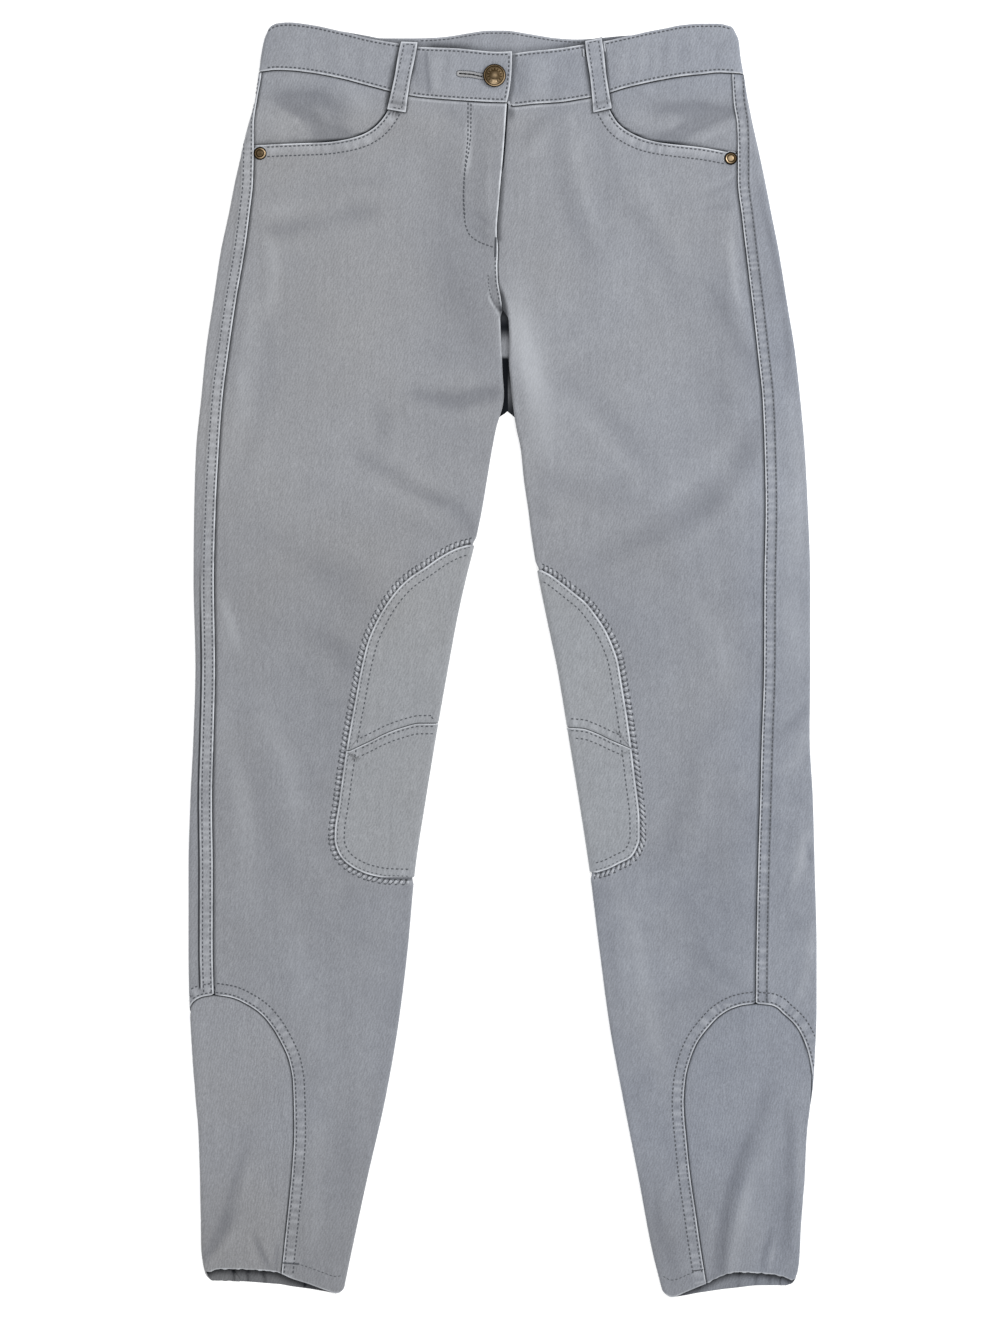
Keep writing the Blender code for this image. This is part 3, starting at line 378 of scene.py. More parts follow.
ANKLE_CREASES = numbers("""
    12 -1.1 214 -336 204 -371 192 -402 182 -432, 13 -1.5 189 -411 179 -445 174 -472 172 -509,
    13 0.8 200 -400 192 -440 186 -472 182 -501, 20 0.35 211 -384 206 -440 200 -488,
    5 -0.8 197 -382 188 -402 180.5 -429 177 -460 175.5 -492, 8 0.6 170 -440 168 -468 167 -492,
    10 -1.1 229 -355 230 -413 228 -453 226 -482, 8 0.5 238 -368 238 -424 234 -472,
    4 -1 215 -456 210 -475 206 -496, 4 0.5 219 -464 214 -488,
    13 -0.6 -202 -373 -210 -416 -218 -448, 10 -1.3 -216 -442 -227 -464 -245 -485,
    12 0.6 -213 -455 -224 -471 -237 -490, 8 0.35 -202 -400 -211 -445,
    6 -0.6 -205 -390 -215 -420 -226 -456 -236 -480, 4.5 -1.4 -199 -460 -192 -476 -184 -492,
    4.5 -1.1 -179 -464 -180.5 -478 -181 -494, 4 0.5 -174 -461 -178 -496,
    5 -0.3 -187 -404 -182 -436
""")
CREASES = HIP_CREASES + BROAD_CREASES + RIGHT_CREASES + LEFT_CREASES + ANKLE_CREASES
# Creases of the lower layer, all lifted off the surface it lies on
HIDDEN_CREASES = numbers("""
    30 0.8 -150 330 -90 300 -40 240, 24 0.6 60 330 120 270 150 210, 26 0.7 -200 90 -150 40,
    22 0.6 110 60 170 20, 24 0.7 -180 -210 -130 -260, 20 0.6 150 -180 180 -250
""")
# Ripples of the waistband's front: x, width, depth
BAND_RIPPLES = numbers("""
    -188 32.5 -0.25, -160 16.2 0.12, -147 10 0.11, -137 8.75 -0.099, -125.6 8.75 0.11,
    -115 8.75 -0.099, -104 10 0.087, -67.5 6.25 -0.37, -61 7 -0.6, -52.8 8.75 0.31,
    -44.8 6.25 -0.25, -37.6 11.2 0.22, 13 7.5 -0.64, 20 7.5 -0.22, 30.4 20 0.19, 43 6.25 -0.093,
    50 16 -0.24, 60 10 -0.19, 88 6.25 -0.25, 98.4 7.5 0.12, 105.6 6.25 -0.15, 112 6.25 0.19,
    118.4 6.25 -0.15, 124 6.25 0.15, 130.4 7.5 -0.19, 137.6 7.5 0.15, 145.6 7.5 -0.15,
    152.8 7.5 0.12, 160.8 10 -0.093, 174.4 12.5 -0.12
""")


def path_length(path):
    return float(np.linalg.norm(np.diff(path, axis=0), axis=1).sum())


def run_along(path):
    """Distance along a line of points to each of them."""
    return np.concatenate(((0,), np.cumsum(np.linalg.norm(np.diff(path, axis=0), axis=1))))


def nearest(x, y, path):
    """Distance in plan from each point to a line of points, and how far along it that is."""
    best, run, before = np.full(np.shape(x), 1e12), np.zeros(np.shape(x)), 0.0
    for (x0, y0), (x1, y1) in zip(path[:-1], path[1:]):
        across, up = x1 - x0, y1 - y0
        length = max(math.hypot(across, up), 1e-9)
        f = np.clip(((x - x0) * across + (y - y0) * up) / length**2, 0, 1)
        gap = (x - x0 - f * across) ** 2 + (y - y0 - f * up) ** 2
        run = np.where(gap < best, before + f * length, run)
        best = np.minimum(best, gap)
        before += length
    return np.sqrt(best), run


def distance(x, y, path):
    return nearest(x, y, path)[0]


def creased(x, y, creases):
    """Rise of the cloth at x, y in the frame from the listed creases."""
    rise = np.zeros(np.shape(x))
    for number, (width, depth, *path) in enumerate(creases):
        path = list(zip(path[::2], path[1::2]))
        away, run = nearest(x, y, path)
        share = np.clip(run / path_length(path), 0, 1)
        taper = 0.3 + 0.7 * np.maximum(np.sin(math.pi * share), 0) ** 0.8
        uneven = 1 + 0.2 * np.sin(0.11 * x + 0.07 * y + number)
        rise += uneven * taper * depth * np.exp(-((2 * away / width) ** 2))
    return np.clip(rise, -2.0, 1.5)


def undulation(x, y):
    """The slight unevenness of cloth laid out by hand, within half a millimetre."""
    waves = ((71, 0.5, 0.14), (52, 2.1, 0.11), (93, 3.9, 0.13), (37, 1.2, 0.06), (24, 2.7, 0.035))
    rise = np.zeros(np.shape(x))
    for length, turn, height in waves:
        along = (x * math.cos(turn) + y * math.sin(turn)) / length
        across = (y * math.cos(turn) - x * math.sin(turn)) / (1.7 * length)
        rise += height * np.sin(2 * math.pi * along + 1.3 * np.sin(2 * math.pi * across + turn))
    return rise


class Half:
    """One half of the breeches. Points are (outwards, height, up); sign turns outwards into x."""

    def __init__(self, name, sign, side, inner, ankle, mouth, hem, patch, knee, band):
        self.name = name
        self.sign = sign
        self.outer, self.seam = side["outer"], side["seam"]
        self.inner = inner["inner"]
        self.arch_front, self.arch_back = ankle["front"], ankle["back"]
        self.mouth = mouth["height"]
        self.hem = hem
        self.patch = patch["edge"]
        self.knee_seam = knee["height"]
        self.band = band

    def patch_room(self, y):
        low, high = self.patch_bottom, self.patch_top
        return PATCH_STAND * window(y, low - PATCH_EASE, low, high, high + PATCH_EASE)

    def fold_out(self, y):
        return self.outer(y) - LOFT / 2

    def fold_in(self, y):
        flat = self.centre_front(y) + EDGE_STRIP
        return blend(flat, self.inner(y) + self.patch_room(y) + LOFT / 2, EDGE_FOLDED["folded"](y))

    def around(self, x, y):
        """Distance along the cloth to the point seen from above at x."""
        start = self.fold_out(y)
        turned = start + FOLD * np.arcsin(np.clip((x - start) / FOLD, 0.0, 1.0))
        return np.where(x <= start, x, turned)

    def centre_front(self, y):
        return self.sign * CENTRE_FRONT["x"](y) + GAP / 2

    def side_edge(self, y):
        on_seam = self.around(self.seam(y), y)
        return np.where(y > self.arch_top, on_seam, self.arch_front(y))

    def relief(self, u, y):
        """Rise of the upper layer, none at the leg's folded edges."""
        a, b = self.fold_in(y), self.fold_out(y)
        x = self.sign * u
        rise = creased(x, y, CREASES) + undulation(x, y)
        return rise * ease(b - u, 0, 8) * ease(u - a, 0, 8)

    def ring(self, u, y, lift, creases):
        """Middle of the cloth at distance u along the leg's ring, and its outward direction."""
        a, b = self.fold_in(y), self.fold_out(y)
        outer = u > b
        start, way = np.where(outer, b, a), np.where(outer, 1.0, -1.0)
        beyond = np.maximum(np.where(outer, u - b, a - u), 0.0)
        angle = np.minimum(beyond / FOLD, math.pi)
        out = np.stack((way * np.sin(angle), np.zeros_like(angle), np.cos(angle)), axis=-1)
        flat_under = np.maximum(beyond - math.pi * FOLD, 0.0)
        x = np.where(beyond == 0, u, start + out[..., 0] * (FOLD + lift) - way * flat_under)
        z = LOFT / 2 + out[..., 2] * (FOLD + lift)
        if creases:
            z = z + np.where(beyond == 0, self.relief(u, y), 0.0)
            hidden = creased(self.sign * x, y, HIDDEN_CREASES)
            z = z + np.where(angle >= math.pi, hidden * ease(flat_under, 0, 12), 0.0)
        return np.stack((x, y + 0 * x, z), axis=-1), out

    def front_top(self, x):
        waist = self.band["bottom"](self.sign * x)
        if self.name == "left":
            under_overlap = np.minimum(waist, RIGHT_BAND["bottom"](OVERLAP_END))
            waist = np.where(x < OVERLAP_END + 1, under_overlap, waist)
        return np.minimum(self.mouth(x), waist - GAP)

    def line(self, curve, low, high, step=6.0):
        """The frame's points of an edge whose outward distance is a curve over the height."""
        y = np.linspace(low, high, max(2, int(abs(high - low) / step)))
        return np.stack((self.sign * curve(y), y), axis=-1)

    def across(self, curve, start, end, step=2.5):
        """The frame's points of an edge whose height is a curve over the outward distance."""
        x = np.linspace(start, end, max(2, int(abs(end - start) / step)))
        return np.stack((self.sign * x, curve(x)), axis=-1)

    def patch_line(self):
        """The knee patch's edge in the frame, from its top inner corner round to the bottom one."""
        turn = 0.5 - 0.5 * np.cos(math.pi * np.linspace(0, 1, 150))
        y = self.patch_top + turn * (self.patch_bottom - self.patch_top)
        x = np.append(self.patch(y), self.fold_in(self.patch_bottom) - 2.5)
        return np.stack((self.sign * x, np.append(y, self.patch_bottom - 0.3)), axis=-1)

    def hem_corner(self, x, y):
        """How much higher the hem lies where its corners are rounded off."""
        room = np.minimum(x - self.fold_in(y) + FOLD, self.fold_out(y) + FOLD - x)
        f = np.clip(1 - np.maximum(room, 0) / HEM_CORNER, 0, 1)
        return HEM_CORNER * (1 - np.sqrt(1 - f**2))

    def hem_at(self, found, gathers=0.0):
        """Height of the hem below the points found, on the upper or the lower layer."""
        x = found[..., 0]
        front, back = self.hem["front"](x) + gathers, self.hem["back"](x) + 0.6 * gathers
        return np.where(found[..., 2] > LOFT / 2, front, back) + self.hem_corner(x, found[..., 1])

    def loop_shadow(self, x, y):
        """The dark line that the belt loop's edges leave on what they lie on."""
        loop = LOOPS[self.name]
        top, foot = self.sign * loop["top_x"], self.sign * loop["foot_x"]
        foot_y = loop["foot_y"] + 0.5 * loop["width"]
        axis = [(top, loop["top_y"]), (foot, foot_y)]
        shaded = [(top - 1.3, loop["top_y"]), (foot - 1.3, foot_y + 1)]
        thin = 1 - ease(distance(x, y, axis) - 0.5 * loop["width"], 0.5, 1.9)
        soft = 1 - ease(distance(x, y, shaded) - 0.5 * loop["width"], 0.0, 2.6)
        return np.maximum(0.75 * thin, 0.5 * soft)

    def arch(self, curve, low):
        """The ankle arch's line, close where it runs level."""
        y = self.arch_top - np.linspace(0, 1, 90) ** 2 * (self.arch_top - low)
        return np.stack((self.sign * curve(y), y), axis=-1)

    def world(self, points):
        return points * np.array((self.sign, 1.0, 1.0))


RIGHT = Half(
    "right", -1, RIGHT_SIDE, RIGHT_INNER, RIGHT_ANKLE, RIGHT_MOUTH, RIGHT_HEM, RIGHT_PATCH,
    RIGHT_KNEE_SEAM, RIGHT_BAND,
)
RIGHT.arch_top, RIGHT.patch_top, RIGHT.patch_bottom, RIGHT.mouth_start = -268.0, 93.0, -175.0, 84
LEFT = Half(
    "left", 1, LEFT_SIDE, LEFT_INNER, LEFT_ANKLE, LEFT_MOUTH, LEFT_HEM, LEFT_PATCH,
    LEFT_KNEE_SEAM, LEFT_BAND,
)
LEFT.arch_top, LEFT.patch_top, LEFT.patch_bottom, LEFT.mouth_start = -275.0, 73.0, -171.0, 78
HALVES = (RIGHT, LEFT)

# Stations are heights along a leg; the lowest and highest stretches are fitted to hem and waist
LOW, HIGH = -470.0, 385.0
HEM_STATION, WAIST_STATION = -505.0, 440.0


def fitted(station, low, high):
    """A station's height where the piece ends at the heights low and high."""
    at_hem = LOW - (LOW - station) * (LOW - low) / (LOW - HEM_STATION)
    at_waist = HIGH + (station - HIGH) * (high - HIGH) / (WAIST_STATION - HIGH)
    return np.where(station < LOW, at_hem, np.where(station > HIGH, at_waist, station))


def stations_along(low, high, step, *edges):
    """Heights from low to high, closer together where an edge runs nearly level."""
    y = np.linspace(low, high, int(10 * (high - low)) + 1)
    slope = np.zeros_like(y)
    for edge in edges:
        slope = np.maximum(slope, np.abs(np.gradient(edge(y), y)))
    run = np.sqrt(1 + np.minimum(slope, 9.0) ** 2)
    length = np.concatenate(((0,), np.cumsum(0.5 * (run[1:] + run[:-1]) * np.diff(y))))
    return np.interp(np.linspace(0, length[-1], int(length[-1] / step) + 2), length, y)


def spread(length, step, start_lines=EDGE_LINES, end_lines=EDGE_LINES):
    """Shares of a length: fine lines at either end, even steps between."""
    start, end = np.array(start_lines), length - np.array(end_lines)[::-1]
    room = end[0] - start[-1]
    between = np.linspace(start[-1], end[0], max(2, int(room / step) + 1))[1:-1]
    return np.concatenate((start, between, end)) / length


def sections(*parts):
    """Numbers the sections of a row of columns, and joins their shares."""
    numbered = [np.full(len(shares), number) for number, shares in enumerate(parts)]
    return np.concatenate(numbered)[None, :], np.concatenate(parts)[None, :]


def leg_stations(step, *edges):
    hem = HEM_STATION + np.array(HEM_LINES)
    leg = stations_along(LOW, HIGH, step, *edges)
    waist = WAIST_STATION - np.array((*EDGE_LINES, 12, 15, 18, 22, 26, 31, 36, 41, 46, 51))[::-1]
    return np.concatenate((hem, leg, waist))[:, None]


def linear(hex_colour):
    """sRGB hex to the linear colour that Blender's sockets take."""
    values = [int(hex_colour[i : i + 2], 16) / 255 for i in (1, 3, 5)]
    return [v / 12.92 if v <= 0.04045 else ((v + 0.055) / 1.055) ** 2.4 for v in values]


def fill(tree, node, inputs):
    """Sets a node's inputs; each is a value or another node's output."""
    for name, value in inputs.items() if isinstance(inputs, dict) else enumerate(inputs):
        socket = node.inputs[name]
        if isinstance(value, bpy.types.NodeSocket):
            tree.links.new(value, socket)
        else:
            socket.default_value = (*value, 1.0)[:4] if socket.type == "RGBA" else value


def add_node(tree, kind, inputs=(), out=0, **settings):
    """Adds a node with its settings and links, and gives one of its outputs."""
    made = tree.nodes.new("ShaderNode" + kind)
    for name, value in settings.items():
        setattr(made, name, value)
    fill(tree, made, inputs)
    return made.outputs[out]


def new_material(name):
    """An empty Principled material, its node tree and a way to add nodes to it."""
    made = bpy.data.materials.new(name)
    made.use_nodes = True
    return made, made.node_tree, partial(add_node, made.node_tree)


def features(place, millimetres, detail=2.0):
    """A soft noise's inputs for features of about this size."""
    return {"Vector": place, "Scale": 1000.0 / millimetres, "Detail": detail, "Roughness": 0.6}


# Settings that many nodes share
TIMES, PLUS, MINUS = ({"operation": way} for way in ("MULTIPLY", "ADD", "SUBTRACT"))
RGBA = {"data_type": "RGBA"}
# A colour mix's sockets: how much of the second colour, both colours, and the result
SHARE, FIRST, SECOND, RESULT = 0, 6, 7, 2


def fabric(name, cloth, ground, faded, pitch, slant, weave_depth, sheen, mottle, below, grain=1.0):
    """What the garment's cloths share: a pigment wash that took unevenly, threads on a slant, pale
    edges from wear that are partly a painted highlight, painted shade with some dirt in the
    grooves beside them, painted shade in crease troughs and a painted highlight on their ridges,
    and puckers between two rows of stitching. Pitch is the drawn distance between two lines,
    slant their angle and mottle how widely the wash varies; below is the tone under the hips."""
    made, tree, add = new_material(name)
    place = add("TexCoord", out="Object")
    x, y = (add("SeparateXYZ", (place,), axis) for axis in "XY")
    pale, dark, strip, run, fold = (
        add("Attribute", out="Fac", attribute_name=mark) for mark in MARKS
    )

    # the wash leaves clouds of three sizes
    tone = 0.0
    for size, detail, low, high, share in (
        (95, 3.0, 0.5 - mottle, 0.5 + mottle, 0.42),
        (20, 3.0, 0.28, 0.72, 0.36),
        (8, 2.0, 0.3, 0.7, 0.22),
    ):
        cloud = add("MapRange", (add("TexNoise", features(place, size, detail)), low, high))
        tone = add("Math", (tone, add("Math", (cloud, share), **TIMES)), use_clamp=True, **PLUS)
    colour = add("Mix", {SHARE: tone, FIRST: ground, SECOND: faded}, RESULT, **RGBA)

    # warmer on the wearer's right, on the thighs and at the ankles, less warm at the waistband,
    # the left leg's outer edge and the shins; lighter above mid-thigh and darker towards the hems
    warm = add("MapRange", (add("TexNoise", features(place, 110)), 0.4, 0.75, 0.0, 0.17))
    for way, start, end, low, high in (
        (x, -0.1, 0.2, 0.36, 0.05), (y, -0.05, 0.1, 0.0, 0.12), (y, 0.43, 0.46, 0.0, -0.2),
        (x, 0.18, 0.22, 0.0, -0.18),
    ):
        warm = add("Math", (warm, add("MapRange", (way, start, end, low, high))), **PLUS)
    shin = add("MapRange", (x, -0.2, -0.14, 0.0, 0.13))
    shin = add("Math", (shin, add("MapRange", (y, -0.24, -0.12, 1.0, 0.0))), **TIMES)
    warm = add("Math", (warm, shin), **MINUS)
    warm = add("Math", (warm, add("MapRange", (y, -0.46, -0.38, 0.2, 0.0))), use_clamp=True, **PLUS)
    colour = add("Mix", {SHARE: warm, FIRST: colour, SECOND: cloth.warm_tint}, RESULT, **RGBA)
    legs = add("MapRange", (y, 0.06, 0.15, below, 1.0))
    legs = add("Math", (legs, add("MapRange", (y, -0.49, -0.36, 0.92, 1.0))), **TIMES)

    # slanting lines, which break up into short dashes, warp threads of slightly different tones
    # down the piece, and fuzz lighten and darken the colour a little
    slanted = {"Vector": place, "Rotation": (0, 0, math.radians(slant))}
    threads = add("TexWave", {
        "Vector": add("Mapping", slanted), "Scale": 2 * math.pi / (20 * pitch * MM),
        "Distortion": 8.0, "Detail": 2.0, "Detail Scale": 1.4, "Detail Roughness": 0.7,
    }, "Fac")
    dashed = add("Mapping", {**slanted, "Scale": (1.0, 0.35, 1.0)})
    drawn = {"Vector": place, "Rotation": (0, 0, math.radians(-4)), "Scale": (1.0, 0.06, 1.0)}
    fuzz = add("TexNoise", features(place, 1.1))
    fine = add("Math", (threads, 0.13), **TIMES)
    for pattern, share in (
        (fuzz, 0.42),
        (add("TexNoise", features(add("Mapping", drawn), 3.2, 1.0)), 0.12),
        (add("TexNoise", features(dashed, 1.3, 1.0)), 0.33),
    ):
        fine = add("Math", (fine, add("Math", (pattern, share), **TIMES)), **PLUS)
    reach = 0.5 * grain * cloth.weave_contrast
    shade = add("Math", (legs, add("MapRange", (fine, 0.25, 0.75, 1 - reach, 1 + reach))), **TIMES)
    colour = add("Mix", {SHARE: 1.0, FIRST: colour, SECOND: shade}, RESULT,
                 blend_type="MULTIPLY", **RGBA)

    # puckers lie across the strip about 7 mm apart, and are uneven over some 20 mm
    drift = add("TexNoise", {"W": run, "Scale": 0.045, "Detail": 1.0}, noise_dimensions="1D")
    turn = add("Math", (run, 2 * math.pi / PUCKER_PITCH), **TIMES)
    phase = add("Math", (add("Math", (drift, 16.0), **TIMES), turn), **PLUS)
    beads = add("MapRange", (add("Math", (phase,), operation="SINE"), -1.0, 1.0))
    uneven = add("MapRange", (add("TexNoise", features(place, 14, 1.0)), 0.35, 0.6, 0.25, 1.0))
    pucker = add("Math", (add("Math", (beads, uneven), **TIMES), strip), **TIMES)
    hollow = add("Math", (strip, pucker), **MINUS)
    wear = add("MapRange", (add("TexNoise", features(place, 10)), 0.36, 0.6, 0.45, 1.0))
    # crease troughs take painted shade and their ridges a painted highlight with some fading;
    # pucker crests are lighter, as wear and painted highlight, with painted shade between them;
    # pale marks are wear, partly painted highlight; dark marks are painted shade, with some dirt in
    # the seams beside lapped edges
    for share, tint in (
        (add("Math", (fold, -cloth.fold_shade), use_clamp=True, **TIMES), cloth.trough_colour),
        (add("Math", (fold, cloth.fold_fade), use_clamp=True, **TIMES), cloth.worn_colour),
        (add("Math", (pucker, cloth.pucker_shade), **TIMES), cloth.worn_colour),
        (add("Math", (hollow, 0.3 * cloth.pucker_shade), **TIMES), cloth.trough_colour),
        (add("Math", (pale, wear), **TIMES), cloth.worn_colour),
        (dark, cloth.groove_colour),
    ):
        colour = add("Mix", {SHARE: share, FIRST: colour, SECOND: tint}, RESULT, **RGBA)

    height = add("Math", (pucker, 0.4), **TIMES)
    for pattern in (threads, fuzz):
        height = add("Math", (pattern, weave_depth, height), operation="MULTIPLY_ADD")
    # less gloss and sheen where shade is painted
    open_to_light = add("Math", (1.0, dark), use_clamp=True, **MINUS)
    fill(tree, tree.nodes["Principled BSDF"], {
        "Base Color": colour, "Roughness": 0.92, "Sheen Roughness": 0.45,
        "Normal": add("Bump", {"Height": height, "Strength": 1.0, "Distance": MM}),
        "Specular IOR Level": add("Math", (open_to_light, 0.25), **TIMES),
        "Sheen Weight": add("Math", (open_to_light, sheen), **TIMES),
    })
    return made


def spun_thread(name, colour, tint):
    """Spun polyester sewing thread: dull, with a twist that shows as a slight change of tone."""
    made, tree, add = new_material(name)
    twist = add("TexNoise", features(add("TexCoord", out="Object"), 1.2, 1.0))
    fill(tree, tree.nodes["Principled BSDF"], {
        "Base Color": add("Mix", {SHARE: twist, FIRST: colour, SECOND: tint}, RESULT, **RGBA),
        "Roughness": 0.75, "Sheen Weight": 0.2,
    })
    return made


def antique_brass(name, hardware):
    """Brass darkened in a bath and rubbed back: dark brown in the hollows, bright on the rims, with
    a soft polish. The brightness it reads also holds painted highlights, and painted shadow that
    goes near black at the edges."""
    made, tree, add = new_material(name)
    wear_and_painted_light = add("Attribute", out="Fac", attribute_name="pale")
    stain = add("TexNoise", features(add("TexCoord", out="Object"), 2.5, 4.0))
    patchy = add("Math", (stain, 0.5), **MINUS)
    patchy = add("Math", (patchy, 0.5), **TIMES)
    # the brightness read here holds wear, painted highlights and, below 0, dirt and painted shadow
    rubbed = add("Math", (wear_and_painted_light, patchy), use_clamp=True, **PLUS)
    grime_and_shadow = add("Math", (wear_and_painted_light, -1.0), use_clamp=True, **TIMES)
    colour = hardware.patina_colour
    for share, tint in ((rubbed, hardware.brass_colour), (grime_and_shadow, hardware.grime_colour)):
        colour = add("Mix", {SHARE: share, FIRST: colour, SECOND: tint}, RESULT, **RGBA)
    fill(tree, tree.nodes["Principled BSDF"], {
        "Base Color": colour,
        "Roughness": add("MapRange", (rubbed, 0.0, 1.0, 0.55, 0.3)), "Metallic": 1.0,
        "Normal": add("Bump", {"Height": stain, "Strength": 0.35, "Distance": 0.1 * MM}),
    })
    return made


def paper_floor(name, colour):
    """Matt seamless background paper, with the slight tone of its fibres. A little light comes
    through it from behind, as on a light table, so that thin cloth leaves no shadow beside it."""
    made, tree, add = new_material(name)
    fibres = add("TexNoise", features(add("TexCoord", out="Object"), 6, 3.0))
    dimmed = [0.985 * v for v in colour]
    fill(tree, tree.nodes["Principled BSDF"], {
        "Base Color": add("Mix", {SHARE: fibres, FIRST: dimmed, SECOND: colour}, RESULT, **RGBA),
        "Roughness": 0.95, "Specular IOR Level": 0.1,
        "Emission Color": (1, 1, 1), "Emission Strength": 0.2,
    })
    return made


def once(name, make, *values):
    return bpy.data.materials.get(name) or make(name, *values)


def twill():
    """Cotton and elastane twill, piece-dyed and garment-washed. The wash leaves soft lighter and
    darker clouds; the twill lines climb steeply to the right. Real lines are 0.7 mm apart, and
    they are drawn 2.3 mm apart so that they show."""
    cloth = bpy.context.scene.breeches_cloth
    return once("garment-washed cotton twill", fabric, cloth, cloth.twill_ground,
                cloth.twill_faded, 2.3, 22, 0.12, 0.12, 0.22, 0.9)


def patch_twill():
    """The knee patches' twill, brushed on its face: smoother and a shade lighter than the legs,
    with its lines drawn 2.3 mm apart instead of the real 0.6 mm."""
    cloth = bpy.context.scene.breeches_cloth
    return once("brushed cotton twill", fabric, cloth, cloth.patch_ground, cloth.patch_faded,
                2.3, 22, 0.08, 0.18, 0.3, 0.97)


def jersey():
    """Ribbed stretch jersey at the ankles: cooler and a little darker, with fine wales that run
    down the leg, drawn 2.2 mm apart instead of the real 0.8 mm."""
    cloth = bpy.context.scene.breeches_cloth
    return once("stretch jersey", fabric, cloth, cloth.jersey_ground, cloth.jersey_faded,
                2.2, 12, 0.12, 0.2, 0.25, 1.0, 1.1)


def brass():
    return once("antiqued brass", antique_brass, bpy.context.scene.breeches_hardware)


def thread():
    sewing = bpy.context.scene.breeches_sewing
    return once("spun polyester thread", spun_thread, sewing.thread_colour, sewing.thread_tint)


def dark_thread():
    sewing = bpy.context.scene.breeches_sewing
    return once("dark overlocking thread", spun_thread, sewing.dark_thread, sewing.thread_colour)


def pale_thread():
    sewing = bpy.context.scene.breeches_sewing
    return once("pale buttonhole thread", spun_thread, sewing.pale_thread, sewing.pale_tint)


# The cloth of each material slot
CLOTHS = {"twill": twill, "patch_twill": patch_twill, "stretch_knit": jersey}


def link_mesh(name, vertices, faces, material, marks):
    """A closed mesh from points in millimetres, faces turned outwards; marks are named floats."""
    points = np.asarray(vertices, float) * MM
    mesh = bpy.data.meshes.new(name)
    mesh.from_pydata(points.tolist(), [], faces)
    mesh.update()
    for mark, values in marks.items():
        layer = mesh.attributes.new(mark, "FLOAT", "POINT")
        layer.data.foreach_set("value", np.asarray(values, np.float32))
    mesh.shade_smooth()
    mesh.materials.append(material)
    made = bpy.data.objects.new(name, mesh)
    bpy.context.scene.collection.objects.link(made)
    return made


def signed_volume(points, quads):
    a, b, c, d = (points[quads[:, i]] for i in range(4))
    first = np.einsum("ij,ij->i", a, np.cross(b, c)).sum()
    return first + np.einsum("ij,ij->i", a, np.cross(c, d)).sum()


def edge_distance(points):
    """Distance along the grid's lines from each point to the nearest of its four borders."""
    best = np.full(points.shape[:2], 1e9)
    for axis in (0, 1):
        steps = np.linalg.norm(np.diff(points, axis=axis), axis=-1)
        first = np.concatenate((np.zeros_like(steps.take([0], axis)), np.cumsum(steps, axis)), axis)
        last = first.take([-1], axis) - first
        best = np.minimum(best, np.minimum(first, last))
    return best


def flat_area(points):
    """Area of the grid's cells in square millimetres."""
    across = points[1:, 1:] - points[:-1, :-1]
    other = points[1:, :-1] - points[:-1, 1:]
    return 0.5 * np.linalg.norm(np.cross(across, other), axis=-1).sum()


def add_cloth(name, points, outward, wall, material, marks, gap=None, inside=None):
    """A wall of cloth on a grid of middle points, its edges turned round; gap cells stay open.
    inside is how dark its inner face is, where that differs from the outer one."""
    rows, columns = points.shape[:2]
    radius = wall / 2
    to_rim = np.clip(edge_distance(points) / radius, 0, 1)
    half = radius * np.maximum(np.sqrt(1 - (1 - to_rim) ** 2), 0.12)[..., None]
    vertices = np.concatenate(
        ((points + outward * half).reshape(-1, 3), (points - outward * half).reshape(-1, 3))
    )
    index = np.arange(rows * columns).reshape(rows, columns)
    cells = np.stack((index[:-1, :-1], index[:-1, 1:], index[1:, 1:], index[1:, :-1]), axis=-1)
    keep = np.ones(cells.shape[:2], bool) if gap is None else ~gap
    top = cells[keep]
    edges = np.concatenate([top[:, (i, (i + 1) % 4)] for i in range(4)])
    key = np.sort(edges, axis=1)
    key = key[:, 0].astype(np.int64) * rows * columns + key[:, 1]
    _, back, count = np.unique(key, return_inverse=True, return_counts=True)
    border = edges[count[back] == 1]
    under = rows * columns
    rim = np.concatenate((border[:, ::-1], border + under), axis=1)
    quads = np.concatenate((top, top[:, ::-1] + under, rim))
    if signed_volume(vertices, quads) < 0:
        quads = quads[:, ::-1]
    used, number = np.unique(quads, return_inverse=True)
    quads = number.reshape(quads.shape)
    level = np.zeros((rows, columns))
    doubled = {mark: np.tile((level + marks.get(mark, 0.0)).reshape(-1), 2) for mark in MARKS}
    if inside is not None:
        doubled["dark"][under:] = inside.reshape(-1)
    doubled = {mark: values[used] for mark, values in doubled.items()}
    made = link_mesh(name, vertices[used], quads.tolist(), material, doubled)
    made["flat_area"] = float(flat_area(points)) * MM * MM
    return made


def stand_for(node, piece):
    """The piece rides on the one body and takes the place of its solid."""
    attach(piece, "root")
    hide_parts(node)


def declare(kind, end, piece):
    """A cloth piece, a sheet cut flat that lies on other pieces, stands for its solid; the flat
    area worked out for it is dropped.
    """
    stand_for(kind + end, piece)
    del piece["flat_area"]


def lay(half, kind, slot, points, out, marks, wall=WALL, inside=None):
    made = add_cloth(f"{kind}_cloth_{half.name}", half.world(points), half.world(out), wall,
                     CLOTHS[slot](), marks, inside=inside)
    declare(kind, "_" + half.name, made)


def upward(out):
    """1 where the cloth faces up, 0 where it has turned round a fold."""
    return ease(out[..., 2], 0.1, 0.6)


def all_facing(way, points):
    """The same upright direction for all points."""
    return np.zeros_like(points) + np.array((0, 0, way))


def strongest(marks):
    """The strongest of several marks at each point."""
    return reduce(np.maximum, marks)


def line_of(d, start=0.6, end=1.35):
    """A mark that covers a narrow line along an edge, by distance from it."""
    return 1 - ease(d, start, end)


def strip_of(d):
    """A mark that covers the strip between two rows of stitching along an edge."""
    return window(d, 1.2, 2.2, 8.4, 10.2)


